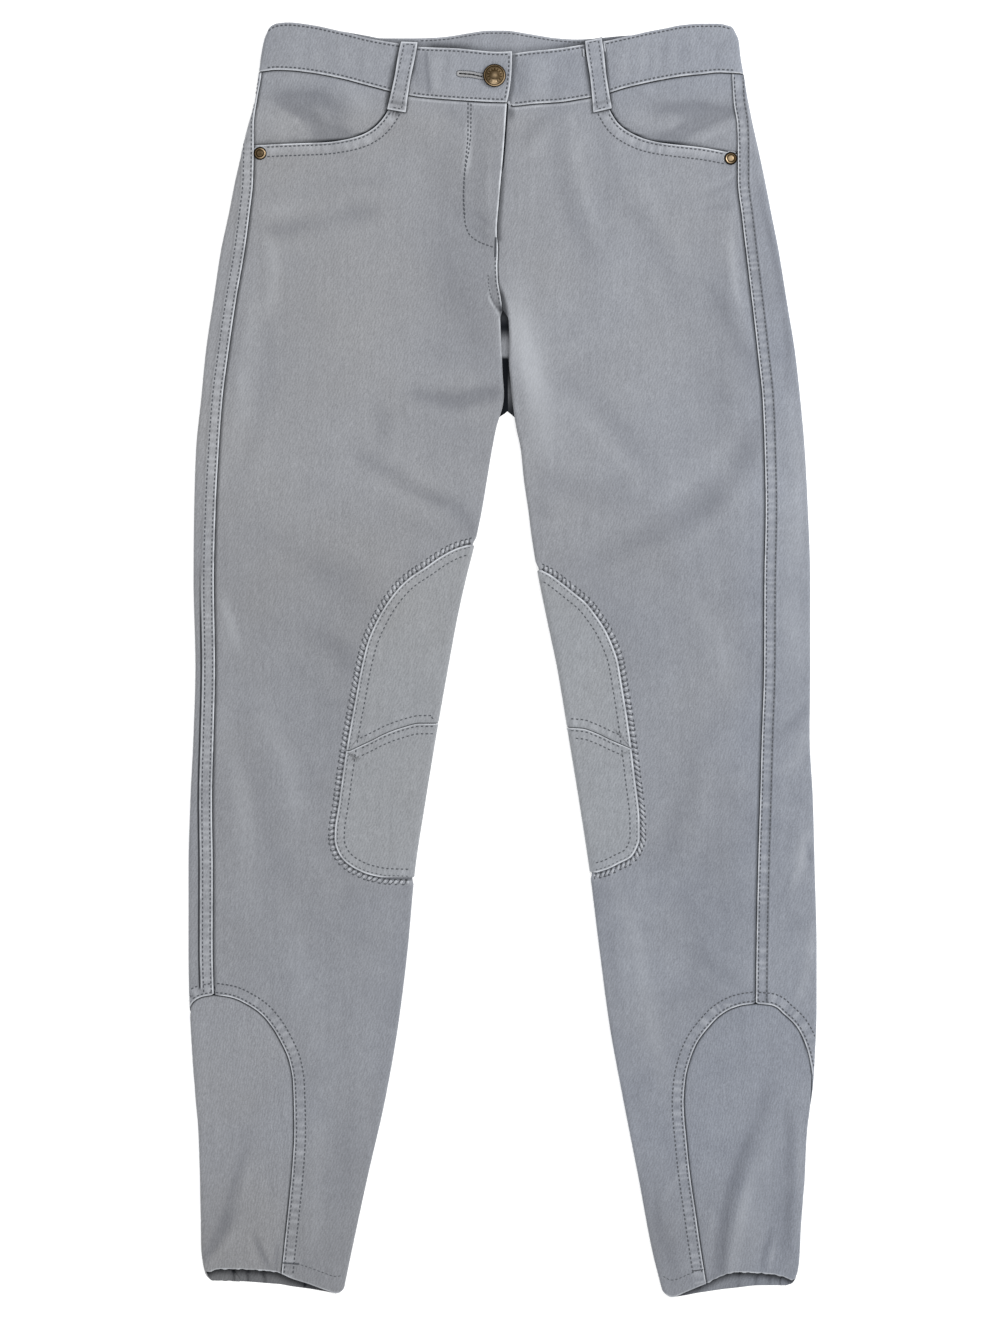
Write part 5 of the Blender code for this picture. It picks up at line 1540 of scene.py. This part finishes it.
def turned(name, x, y, profile, sides, material, rubbed, dents=None):
    """A solid turned about a vertical line, from (radius, height, brightness) points. It is given
    painted highlights, brighter in some directions: (angle in degrees, least and greatest
    radius, how much, power of how narrowly)."""
    angle = np.linspace(0, 2 * math.pi, sides, endpoint=False)
    vertices, bright = [(x, y, profile[0][1])], [profile[0][2]]
    for radius, z, shine in profile:
        relief = dents(radius, angle) if dents else 0 * angle
        facing = 0 * angle
        for way, least, greatest, gain, power in rubbed:
            within = window(radius, least - 0.15, least, greatest, greatest + 0.15)
            toward = 0.5 + 0.5 * np.cos(angle - math.radians(way))
            facing = facing + gain * within * toward**power
        for a, rise, painted_highlight in zip(angle, relief, facing):
            vertices.append((x + radius * math.cos(a), y + radius * math.sin(a), z + rise))
            bright.append(shine + 1.2 * rise + painted_highlight)
    vertices.append((x, y, profile[-1][1]))
    bright.append(profile[-1][2])
    faces = []
    for i in range(sides):
        j = (i + 1) % sides
        faces.append((0, 1 + j, 1 + i))
        for ring in range(len(profile) - 1):
            low, high = 1 + ring * sides, 1 + (ring + 1) * sides
            faces.append((low + i, low + j, high + j, high + i))
        last = 1 + (len(profile) - 1) * sides
        faces.append((last + i, last + j, len(vertices) - 1))
    return link_mesh(name, vertices, faces, material, {"pale": bright})


def smooth_profile(rows, radius, base, height, steps):
    """A turned profile with rounded stretches between its points, which are given as share of the
    radius, share of the height over the base, and brightness."""
    data = np.array([(out * radius, base + up * height, shine) for out, up, shine in rows])
    run = run_along(data[:, :2])
    at = np.unique(np.concatenate((run, np.linspace(0, run[-1], steps))))
    return list(zip(*(through(run, data[:, i])(at) for i in range(3))))


# From the rolled rim's underside over the rim, down beside it and up over the dome; the rim's
# outer side is painted near black as shadow, and the groove beside the dome darker with dirt and
# painted shade
BUTTON_PROFILE = numbers("""
    0.8 0 -0.9, 0.93 0.08 -0.9, 0.995 0.32 -0.9, 1 0.52 -0.9, 0.965 0.72 -0.9, 0.92 0.78 -0.65,
    0.88 0.76 0.15, 0.84 0.68 -0.1, 0.8 0.64 -0.5, 0.74 0.7 0.12, 0.6 0.83 0.08, 0.4 0.95 0.05,
    0.2 1 0.1, 0.03 1.02 0.2
""")


def build_button():
    """A jeans button: a rolled rim, a plain dome inside it and a ring of small beads, with a
    painted dark edge and painted highlights.
    """
    base = BAND_LOFT + OVERLAP_RISE + GAP
    foot = BAND_LOFT - UNDERLAP_SINK + GAP
    r = BUTTON_RADIUS
    shank = [(SHANK_RADIUS, foot, 0.1), (SHANK_RADIUS, base, 0.1)]
    face = smooth_profile(BUTTON_PROFILE, r, base, BUTTON_HEIGHT, 70)

    def beads(radius, angle):
        """Fourteen low beads round the dome and a small plain boss in the middle."""
        ring = math.exp(-(((radius / r - 0.56) / 0.06) ** 2))
        boss = math.exp(-((radius / r / 0.2) ** 2))
        return 0.24 * ring * np.maximum(np.cos(14 * angle), -0.4) + 0.26 * boss

    # painted highlights: a narrow one low on the dome, crescents on the rim
    rubbed = (
        (-93, 0.4 * r, 0.76 * r, 1.1, 24), (-52, 0.84 * r, 0.92 * r, 2.0, 3.0),
        (110, 0.86 * r, 0.93 * r, 0.2, 3),
    )
    made = turned("jeans_button", BUTTON_X, BUTTON_Y, shank + face, 126, brass(), rubbed, beads)
    stand_for("button", made)


def build_rivet(half, shine, rim, rubbed):
    """A burr rivet with a dark edge, a raised rim at this share of its radius and a rounded head of
    the given brightness (shine), with painted highlights on the rim (rubbed). The dark edge, and
    the flange beyond the rivet's radius, are painted shadow."""
    r = RIVET_RADIUS
    rows = (
        (1.08, 0, -0.9), (1.09, 0.15, -0.9), (1.04, 0.4, -0.9), (rim + 0.1, 0.62, -0.85),
        (rim, 0.72, 0.15), (rim - 0.12, 0.62, -0.1), (rim - 0.22, 0.6, -0.6 + 0.5 * shine),
        (0.48, 0.9, 0.1 + 0.5 * shine), (0.2, 1.0, shine), (0.02, 1.0, shine),
    )
    profile = smooth_profile(rows, r, LOFT + GAP, RIVET_HEIGHT, 56)
    rubbed = [(way, (rim - 0.11) * r, (rim + 0.05) * r, gain, 2.4) for way, gain in rubbed]
    made = turned("rivet_head_" + half.name, *RIVETS[half.name], profile, 64, brass(), rubbed)
    stand_for("rivet_" + half.name, made)


def offset(path, by):
    """The line moved to the left of its direction by this much."""
    path = np.asarray(path, float)
    step = np.gradient(path, axis=0)
    step /= np.maximum(np.linalg.norm(step, axis=1, keepdims=True), 1e-9)
    return path + by * np.stack((-step[:, 1], step[:, 0]), axis=-1)


def at_lengths(path, lengths):
    return np.stack([np.interp(lengths, run_along(path), path[:, i]) for i in (0, 1)], axis=-1)


class Surface:
    """The upper faces of all cloth, for laying sewing on."""

    def __init__(self):
        self.cloth, self.loops = self.tree("_cloth"), self.tree("belt_loop_cloth")

    def tree(self, name):
        vertices, faces = [], []
        for piece in bpy.context.scene.objects:
            if piece.type == "MESH" and name in piece.name:
                count = len(vertices)
                vertices += [v.co / MM for v in piece.data.vertices]
                faces += [[i + count for i in p.vertices] for p in piece.data.polygons]
        return BVHTree.FromPolygons(vertices, faces)

    def at(self, x, y, on_loops):
        """The cloth's point seen from above, or None off the cloth and under the belt loops."""
        start, down = Vector((x, y, 60.0)), Vector((0, 0, -1))
        spot, normal, _, _ = self.cloth.ray_cast(start, down)
        if spot is None or normal.z < 0.35:
            return None
        hidden = not on_loops and self.loops.ray_cast(start, down)[0] is not None
        return None if hidden else spot


def grain(start, end, width, height):
    """One stitch: a rounded grain from start to end that dips into the cloth at both ends."""
    start, end, sides = np.array(start), np.array(end), 5
    along = end - start
    length = max(np.linalg.norm(along), 1e-6)
    along = along / length
    side = np.cross((0, 0, 1.0), along)
    side /= max(np.linalg.norm(side), 1e-6)
    up = np.cross(along, side)
    vertices = [start - 0.25 * height * up]
    for share in (0.13, 0.87):
        middle = start + along * length * share
        for i in range(sides):
            a = 2 * math.pi * i / sides
            spot = side * (0.5 * width * math.cos(a)) + up * (0.5 * height * math.sin(a))
            vertices.append(middle + spot)
    vertices.append(end - 0.25 * height * up)
    last = len(vertices) - 1
    faces = []
    for i in range(sides):
        j = (i + 1) % sides
        faces.append((0, 1 + j, 1 + i))
        faces.append((1 + i, 1 + j, 1 + sides + j, 1 + sides + i))
        faces.append((last, 1 + sides + i, 1 + sides + j))
    return vertices, faces


def sew(name, surface, stitches, width, height, material, bridging=False, pale=0.0):
    """All stitches of one seam or group as one mesh; each is a pair of points in plan. Bridging
    stitches reach out level over a hole from their second point."""
    vertices, faces = [], []
    on_loops = "belt_loop" in name
    for (x0, y0), (x1, y1) in stitches:
        b = surface.at(x1, y1, on_loops)
        a = Vector((x0, y0, b.z)) if bridging and b else surface.at(x0, y0, on_loops)
        if a is None or b is None or abs(a.z - b.z) > 0.8:
            continue
        lift = 0.12 * height
        points, cells = grain((a.x, a.y, a.z + lift), (b.x, b.y, b.z + lift), width, height)
        count = len(vertices)
        vertices += points
        faces += [tuple(i + count for i in cell) for cell in cells]
    made = link_mesh(name, vertices, faces, material, {"pale": [pale] * len(vertices)})
    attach(made, "root")


def running(path, pitch, length):
    """Stitches of one length at one pitch along a line."""
    total = path_length(path)
    starts = np.arange(0.3 * pitch, total - length, pitch)
    return list(zip(at_lengths(path, starts), at_lengths(path, starts + length)))


def bar_tack(start, end, width, pitch):
    """A short satin bar: stitches across the line from start to end."""
    path = np.array((start, end), float)
    total = path_length(path)
    middle = at_lengths(path, np.arange(0, total, pitch))
    way = (path[1] - path[0]) / total
    side = np.array((-way[1], way[0])) * width / 2
    return [(m - side + 0.3 * way, m + side) for m in middle]


# The fly's two rows, as x and height in the frame
FLY_ROWS = (
    ((-27.2, 447), (-27.2, 421), (-28.8, 402), (-30.3, 386), (-30.9, 370), (-29.9, 352),
     (-26.6, 341), (-19.5, 335), (-7, 330)),
    ((-24.8, 446), (-25.0, 421), (-26.9, 406), (-29.9, 388), (-30.6, 370), (-29.7, 355)),
)

# Bar tacks of the fly and of either hem: start, end, width and distance between stitches
BAR_TACKS = (
    ((-4.9, 340), (-5.5, 322), 1.9, 0.7), ((-175, -482.6), (-162.5, -483.4), 1.7, 0.95),
    ((152.5, -489), (163, -487.5), 1.2, 0.9),
)

# The overlapping end's lower corner, the dart above the slot and the belt loops' folded-under
# ends, which show beside their tops
OVERLAP_CORNER = [((6.4, 441.6), (4.9, 447.2))]
DART = ((-11.2, 309), (-10.6, 299), (-8.4, 288))
LOOP_TABS = [
    ((-68.6, 492.4), (-67.3, 483.8)), ((65.0, 489.2), (65.6, 481.8)), ((81.3, 494.4), (82.4, 485.6))
]


def smooth_path(points):
    """A smooth line through a few points, in steps of 2 mm."""
    points = np.array(points, float)
    run = run_along(points)
    at = np.linspace(0, run[-1], max(3, int(run[-1] / 2.0)))
    return np.stack([through(run, points[:, i])(at) for i in (0, 1)], axis=-1)


def side_seam_rows(half):
    """The right side's far row lies on the strip's second turned edge."""
    seam = half.line(half.seam, half.arch_top + 1, 468)
    return [seam + (half.sign * by, 0) for by in ((2.0, 8.1) if half is RIGHT else (1.8, 8.7))]


def arch_rows(half):
    """Two rows on the front beside the ankle arch, and the two that go on over the back."""
    front = half.arch(half.arch_front, -492)
    back = half.arch(half.arch_back, -345)
    rows = [offset(front, half.sign * -by) for by in (NEAR_ROW, FAR_ROW)]
    rows += [offset(back, half.sign * by) for by in (NEAR_ROW, FAR_ROW)]
    return rows


def mouth_rows(half):
    end = 191 if half is RIGHT else 180
    mouth = half.across(half.mouth, half.mouth_start + 1, end, 1.5)
    return [offset(mouth, -half.sign * by) for by in (NEAR_ROW, FAR_ROW + 0.4)]


def patch_outline(half, by):
    """The knee patch's edge moved outwards by this much, from the top inner corner down."""
    return offset(half.patch_line(), half.sign * by)


def knee_rows(half):
    end, above = (114, 6.4) if half is RIGHT else (97, 7.2)
    seam = half.across(half.knee_seam, 50, end)
    rows = [seam + (0, by) for by in (above, -2.2, -8.2)]
    if half is RIGHT:
        rows[0] = rows[0][2:]
        rows.append(np.array(((-57.5, -45.2), (-55.8, -46), (-54.1, -48.6), (-53, -51))))
    return rows


def hem_row(half):
    end = 166 if half is RIGHT else 158
    return half.across(half.hem["front"], 128, end) + (0, 13.5)


def waist_rows(half):
    start = -OVERLAP_END + BAND_ROW if half is RIGHT else OVERLAP_END + 1.5
    x = np.linspace(start, 188, 90) * half.sign
    low = np.stack((x, half.band["bottom"](x) + BAND_ROW), axis=-1)
    high = np.stack((x, half.band["top"](x) - BAND_ROW), axis=-1)
    rows = [low, high]
    if half is RIGHT:
        v = np.linspace(0.06, 0.94, 12)
        rows.append(np.stack((overlap_end(v) - BAND_ROW, band_height(RIGHT_BAND, 6.0, v)), axis=-1))
    return rows


def facing_row():
    x = np.linspace(-66, 66, 70)
    return np.stack((x, BACK_BAND["top"](x) - 2.5), axis=-1)


def loop_rows(top_x, foot_x, top_y, foot_y, width, top_tilt, foot_tilt, sign):
    rows = []
    for side in (-1, 1):
        by = side * (0.5 * width - LOOP_ROW)
        start = (sign * (top_x + by), top_y - 2 + side * top_tilt)
        rows.append(np.array((start, (sign * (foot_x + by), foot_y + 3 + side * foot_tilt))))
    by = 0.5 * width - 2.4
    for x, y, tilt in ((top_x, top_y - 2.4, top_tilt), (foot_x, foot_y + 2.6, foot_tilt)):
        tilt = 0.7 * tilt
        rows.append(np.array(((sign * (x - by), y - tilt), (sign * (x + by), y + tilt))))
    return rows


def zigzag(half):
    """Slanted bars round the knee patch with a dash at either end, and the puffs of cloth that
    they pull up between them."""
    near, far = patch_outline(half, ZIGZAG_NEAR), patch_outline(half, ZIGZAG_FAR)
    near_length, far_length = path_length(near), path_length(far)
    count = int(near_length / ZIGZAG_PITCH)
    bars, dashes, beside, puffs = [], [], [], []
    for number in range(1, count):
        lean = 0.15 * math.sin(1.7 * number) + 0.15 * math.sin(0.61 * number + 1.0)
        at = np.array((number, number - 0.5 + lean, number - 0.98 + lean, number - 0.3,
                       number + 0.27, number + 0.42, number - 0.1 + lean)) / count
        start, before, after, puff_start = at_lengths(near, at[[0, 3, 4, 5]] * near_length)
        bar_end, dash_end, puff_end = at_lengths(far, np.maximum(at[[1, 2, 6]], 0) * far_length)
        bars.append((start, bar_end))
        dashes.append((bar_end, dash_end))
        beside.append((before, after))
        puffs.append((blend(puff_start, puff_end, 0.12), blend(puff_start, puff_end, 0.85)))
    return bars, dashes, beside, puffs


def satin_edge():
    """Close stitches round the buttonhole's slit."""
    stitches = []
    for x in np.arange(HOLE_START + 0.4, HOLE_END - 6.0, 0.62):
        for upper in (False, True):
            edge = float(hole_edge(x, upper))
            way = 1 if upper else -1
            open_by = 0.62 - 0.3 * abs(math.sin(0.9 * x)) - 0.4 * ease(x, -18, -12)
            stitches.append(((x, edge - open_by * way), (x + 0.1, edge + 1.6 * way)))
    middle = (HOLE_START, float(hole_edge(HOLE_START, True)) - HOLE_SLIT)
    for angle in np.linspace(0.5 * math.pi, 1.5 * math.pi, 11):
        way = np.array((math.cos(angle), math.sin(angle)))
        stitches.append((middle + 0.5 * way, middle + 2.4 * way))
    return stitches


def hole_outline():
    """The line that the buttonhole's stitches press into the cloth."""
    x = np.linspace(HOLE_END - 6.0, HOLE_START, 30)
    turn = np.linspace(0.5 * math.pi, 1.5 * math.pi, 9)[1:-1]
    high = np.stack((x, hole_edge(x, True) + 1.85), axis=-1)
    low = np.stack((x, hole_edge(x, False) - 1.85), axis=-1)[::-1]
    middle = 0.5 * (high[-1] + low[0])
    reach = 0.5 * (high[-1, 1] - low[0, 1])
    end = middle + reach * np.stack((np.cos(turn), np.sin(turn)), axis=-1)
    return np.concatenate((high, end, low))


def size_of(name, description, millimetres, least, most):
    """A length that a user may change."""
    return FloatProperty(
        name=name, description=description, default=millimetres * MM, min=least * MM,
        max=most * MM, subtype="DISTANCE", unit="LENGTH",
    )


def share_of(name, description, value, most=1.0):
    return FloatProperty(
        name=name, description=description, default=value, min=0.0, max=most, subtype="FACTOR"
    )


def colour_of(name, description, hex_colour):
    return FloatVectorProperty(
        name=name, description=description, default=linear(hex_colour), subtype="COLOR", size=3
    )


class BreechesCloth(PropertyGroup):
    grid_step: size_of("Grid step", "Distance between the lines of the cloth's mesh", 2.6, 1.5, 12)
    weave_contrast: share_of("Weave contrast", "How much the threads change the tone", 0.54)
    # Trough shade and ridge fade set how much shade is painted in the creases' troughs and how much
    # highlight, with some fading, on their ridges; pucker shade sets the painted shade between
    # puckers and the wear and painted highlight on their crests
    fold_shade: share_of("Trough shade", "How much darker a crease's trough is", 0.34, 1.5)
    fold_fade: share_of("Ridge fade", "How much the wash faded a crease's ridge", 0.32, 1.5)
    pucker_shade: share_of("Pucker shade", "How much puckers along seams change the tone", 0.2)
    twill_ground: colour_of("Twill, dark", "Where the wash left the legs darkest", "#737780")
    twill_faded: colour_of("Twill, faded", "Where the wash faded the legs most", "#868A92")
    patch_ground: colour_of("Knee patch, dark", "Where the patches are darkest", "#7A7E84")
    patch_faded: colour_of("Knee patch, faded", "Where the patches faded most", "#898D93")
    jersey_ground: colour_of("Ankle jersey, dark", "The insert's darker tone", "#70747D")
    jersey_faded: colour_of("Ankle jersey, light", "The insert's lighter tone", "#7D8189")
    warm_tint: colour_of("Warm tint", "The slightly brown tone of some clouds", "#807F7E")
    # The edge colour is wear and painted highlight, also on ridges; Trough is painted shade; Groove
    # is painted shade beside lapped edges, under bands, beside belt loops and inside the hems and
    # the slot, with some dirt in the seams
    worn_colour: colour_of("Worn edge", "Edges and ridges with the dye rubbed off", "#B7BABF")
    trough_colour: colour_of("Trough", "Tone in the creases' troughs", "#40434C")
    groove_colour: colour_of("Groove", "The dark line beside a lapped edge", "#15171B")


class BreechesSewing(PropertyGroup):
    pitch: size_of("Stitch pitch", "Distance from one topstitch to the next", 3.5, 1.5, 6)
    length: size_of("Stitch length", "Thread that shows in one topstitch", 2.3, 0.8, 5)
    width: size_of("Thread width", "Width of the topstitching thread", 1.1, 0.2, 2)
    thread_colour: colour_of("Thread", "Topstitching thread", "#2F3238")
    thread_tint: colour_of("Thread, light", "The thread's lighter twist", "#42454C")
    dark_thread: colour_of("Dark thread", "Thread beside the knee patches' edges", "#1F2126")
    pale_thread: colour_of("Buttonhole thread", "Satin stitches round the buttonhole", "#85868A")
    pale_tint: colour_of("Buttonhole thread, light", "Its lighter twist", "#9A9A9A")


class BreechesHardware(PropertyGroup):
    brass_colour: colour_of("Rubbed brass", "Bright brass on rims and high places", "#B09A7C")
    patina_colour: colour_of("Patina", "Darkened brass in the hollows", "#3A2E1D")
    # this colour also paints the shadow at the button's and rivets' dark edges
    grime_colour: colour_of("Grime", "Nearly black brass at the edges and in grooves", "#0E0B08")


class BreechesStage(PropertyGroup):
    floor_colour: colour_of("Floor", "Background paper", "#FAFAFA")
    light_strength: FloatProperty(
        name="Light strength", description="Power of the large soft light",
        default=40.0, min=0.0, max=500.0, unit="POWER",
    )
    sky_strength: FloatProperty(
        name="Surrounding light", description="Strength of the even light from all round",
        default=1.1, min=0.0, max=5.0,
    )
    lens: FloatProperty(
        name="Lens", description="The camera's focal length", default=100.0, min=20.0, max=300.0,
        subtype="DISTANCE_CAMERA", unit="CAMERA",
    )


def cloth_step():
    return bpy.context.scene.breeches_cloth.grid_step / MM


class BREECHES_OT_backs(Operator):
    """Back panels: lapped side seams, round the legs' outer folds and across below"""

    bl_idname = "breeches.backs"
    bl_label = "Backs"

    def execute(self, context):
        for half in HALVES:
            build_back(half, cloth_step())
        return {"FINISHED"}


class BREECHES_OT_fronts(Operator):
    """Front panels with the fly, the pocket mouths and the ankle arches"""

    bl_idname = "breeches.fronts"
    bl_label = "Fronts"

    def execute(self, context):
        for half in HALVES:
            build_front(half, cloth_step())
        return {"FINISHED"}


class BREECHES_OT_ankle_inserts(Operator):
    """Stretch inserts at the ankles"""

    bl_idname = "breeches.ankle_inserts"
    bl_label = "Ankle Inserts"

    def execute(self, context):
        for half in HALVES:
            build_insert(half, cloth_step())
        return {"FINISHED"}


class BREECHES_OT_knee_patches(Operator):
    """Knee patches, each in two parts that are lapped across the knee"""

    bl_idname = "breeches.knee_patches"
    bl_label = "Knee Patches"

    def execute(self, context):
        for half in HALVES:
            for part in ("upper", "lower"):
                build_patch(half, part, cloth_step())
        return {"FINISHED"}


class BREECHES_OT_pocket_facings(Operator):
    """Hip yokes that show in the pocket mouths"""

    bl_idname = "breeches.pocket_facings"
    bl_label = "Pocket Facings"

    def execute(self, context):
        build_pocket_facing(RIGHT, 80.0)
        build_pocket_facing(LEFT, 75.0)
        return {"FINISHED"}


class BREECHES_OT_waistband(Operator):
    """Waistband with its buttonhole, and the facing of its back"""

    bl_idname = "breeches.waistband"
    bl_label = "Waistband"

    def execute(self, context):
        build_waistband(cloth_step())
        build_band_facing()
        return {"FINISHED"}


class BREECHES_OT_belt_loops(Operator):
    """Belt loops at the front"""

    bl_idname = "breeches.belt_loops"
    bl_label = "Belt Loops"

    def execute(self, context):
        for half in HALVES:
            build_belt_loop(half, **LOOPS[half.name])
        return {"FINISHED"}


class BREECHES_OT_sewing(Operator):
    """Topstitching, bar tacks, the zigzag round the knee patches and the buttonhole's edge"""

    bl_idname = "breeches.sewing"
    bl_label = "Sewing"

    def execute(self, context):
        sewing = context.scene.breeches_sewing
        pitch, length, width = (v / MM for v in (sewing.pitch, sewing.length, sewing.width))
        surface = Surface()
        seams = []
        for half in HALVES:
            seams += [
                ("side_seam_stitches_" + half.name, 1.0, side_seam_rows(half)),
                ("ankle_stitches_" + half.name, 1.0, arch_rows(half)),
                ("pocket_stitches_" + half.name, 1.0, mouth_rows(half)),
                ("knee_stitches_" + half.name, 0.9,
                 [patch_outline(half, -PATCH_ROW), *knee_rows(half)]),
                ("waistband_stitches_" + half.name, 1.15, waist_rows(half)),
                ("belt_loop_stitches_" + half.name, 0.8,
                 loop_rows(sign=half.sign, **LOOPS[half.name])),
            ]
        y = np.arange(280, 328, 2.0)
        centre = np.stack((CENTRE_FRONT["x"](y) - 1.9, y), axis=-1)
        seams.append(("waistband_facing_stitches", 0.9, [facing_row()]))
        seams.append(("fly_stitches", 1.0, [smooth_path(row) for row in FLY_ROWS] + [centre]))
        for name, weight, rows in seams:
            apart = 1.11 * pitch if "knee" in name else pitch
            stitches = [stitch for row in rows for stitch in running(row, apart, length)]
            sew(name, surface, stitches, weight * width, 0.55, thread())
        tacks = [stitch for tack in BAR_TACKS for stitch in bar_tack(*tack)]
        sew("bar_tacks", surface, tacks, 0.8, 0.5, thread())
        sew("overlap_corner", surface, OVERLAP_CORNER, 2.8, 1.4, twill(), bridging=True, pale=0.4)
        dart = running(np.array(DART), 2.9, 1.8)
        sew("dart_stitches", surface, dart, 0.6 * width, 0.4, thread())
        # dark thread under each belt-loop tab shows round it as painted shadow
        sew("belt_loop_tab_edges", surface, LOOP_TABS, 3.2, 0.5, dark_thread())
        sew("belt_loop_tabs", surface, LOOP_TABS, 2.0, 1.3, twill(), pale=0.45)
        for half in HALVES:
            bars, dashes, beside, puffs = zigzag(half)
            sew("patch_puffs_" + half.name, surface, puffs, 2.5, 1.0, twill(), pale=0.55)
            sew("zigzag_bars_" + half.name, surface, bars, 0.6, 0.7, thread())
            sew("zigzag_dashes_" + half.name, surface, dashes, 1.1, 0.8, thread())
            turn = np.radians(np.arange(35, 215, 12))
            ring = 5.9 * np.stack((np.cos(turn), np.sin(turn)), axis=-1)
            puckers = running(ring + RIVETS[half.name], 1.1, 1.2)
            sew("rivet_puckers_" + half.name, surface, puckers, 1.1, 0.7, twill(), pale=0.75)
            sew("patch_edge_stitches_" + half.name, surface, beside, 1.3, 0.8, dark_thread())
            sew("hem_stitches_" + half.name, surface, running(hem_row(half), pitch, length),
                0.55 * width, 0.4, thread())
            inner = running(patch_outline(half, -NEAR_ROW), pitch, 0.8 * length)
            sew("patch_near_stitches_" + half.name, surface, inner, 0.6 * width, 0.4, thread())
        outline = running(hole_outline(), 1.5, 1.3)
        sew("buttonhole_outline", surface, outline, 0.75, 0.45, thread())
        sew("buttonhole_stitches", surface, satin_edge(), 0.62, 0.5, pale_thread(), bridging=True)
        return {"FINISHED"}


class BREECHES_OT_hardware(Operator):
    """The jeans button at the waist and the rivets at the pocket mouths"""

    bl_idname = "breeches.hardware"
    bl_label = "Button and Rivets"

    def execute(self, context):
        build_button()
        # the last values are the rims' painted highlights, as direction and strength
        build_rivet(RIGHT, 0.12, 0.83, ((-8, 2.2),))
        build_rivet(LEFT, 0.9, 0.79, ((-145, 0.9), (40, 0.1)))
        return {"FINISHED"}


# Framing: how far the camera sees along the legs, and the middle of what it sees
VIEW_HEIGHT = 1066.4
VIEW_X, VIEW_Y = -1.6, -5.4
SENSOR = 36.0


class BREECHES_OT_stage(Operator):
    """A pale floor, soft studio light and a camera straight above"""

    bl_idname = "breeches.stage"
    bl_label = "Stage"

    def execute(self, context):
        scene, stage = context.scene, context.scene.breeches_stage
        size = 6.0
        corners = [(-size, -size, 0), (size, -size, 0), (size, size, 0), (-size, size, 0)]
        mesh = bpy.data.meshes.new("floor")
        mesh.from_pydata(corners, [], [(0, 1, 2, 3)])
        mesh.materials.append(paper_floor("matt background paper", stage.floor_colour))
        floor = bpy.data.objects.new("floor", mesh)
        scene.collection.objects.link(floor)

        world = bpy.data.worlds.new("even surrounding light")
        world.use_nodes = True
        world.node_tree.nodes["Background"].inputs["Color"].default_value = (1, 1, 1, 1)
        world.node_tree.nodes["Background"].inputs["Strength"].default_value = stage.sky_strength
        scene.world = world

        for name, place, across, power in (
            ("key softbox", (1.7, 1.0, 1.7), 1.2, stage.light_strength),
            ("fill softbox", (-1.8, -0.9, 2.0), 1.6, 0.15 * stage.light_strength),
        ):
            light = bpy.data.lights.new(name, "AREA")
            light.shape, light.size, light.energy = "SQUARE", across, power
            lamp = bpy.data.objects.new(name, light)
            lamp.location = place
            lamp.rotation_euler = Vector(place).to_track_quat("Z", "Y").to_euler()
            scene.collection.objects.link(lamp)

        camera = bpy.data.cameras.new("camera")
        camera.lens, camera.sensor_width, camera.sensor_fit = stage.lens, SENSOR, "AUTO"
        camera.clip_end = 20.0
        seen = bpy.data.objects.new("camera", camera)
        distance_up = VIEW_HEIGHT * stage.lens / SENSOR
        seen.location = (VIEW_X * MM, VIEW_Y * MM, (distance_up + LOFT) * MM)
        scene.collection.objects.link(seen)
        scene.camera = seen
        scene.view_settings.view_transform = "Standard"
        return {"FINISHED"}


class VIEW3D_PT_breeches(Panel):
    bl_label = "Riding Breeches"
    bl_idname = "VIEW3D_PT_breeches"
    bl_space_type = "VIEW_3D"
    bl_region_type = "UI"
    bl_category = "Breeches"

    def draw(self, context):
        for operator in OPERATORS:
            self.layout.operator(operator.bl_idname)
        for group in GROUPS:
            box = self.layout.box()
            settings = getattr(context.scene, group)
            for name in settings.__annotations__:
                box.prop(settings, name)


OPERATORS = (
    BREECHES_OT_backs, BREECHES_OT_fronts, BREECHES_OT_ankle_inserts, BREECHES_OT_knee_patches,
    BREECHES_OT_pocket_facings, BREECHES_OT_waistband, BREECHES_OT_belt_loops,
    BREECHES_OT_sewing, BREECHES_OT_hardware, BREECHES_OT_stage,
)
GROUPS = {
    "breeches_cloth": BreechesCloth,
    "breeches_sewing": BreechesSewing,
    "breeches_hardware": BreechesHardware,
    "breeches_stage": BreechesStage,
}


def register():
    for made in (*GROUPS.values(), *OPERATORS, VIEW3D_PT_breeches):
        bpy.utils.register_class(made)
    for name, group in GROUPS.items():
        setattr(bpy.types.Scene, name, PointerProperty(type=group))


def unregister():
    for name in GROUPS:
        delattr(bpy.types.Scene, name)
    for made in (VIEW3D_PT_breeches, *reversed(OPERATORS), *GROUPS.values()):
        bpy.utils.unregister_class(made)


def main():
    register()
    for operator in OPERATORS:
        group, name = operator.bl_idname.split(".")
        getattr(getattr(bpy.ops, group), name)()
    bpy.context.view_layer.update()


if __name__ == "__main__":
    main()
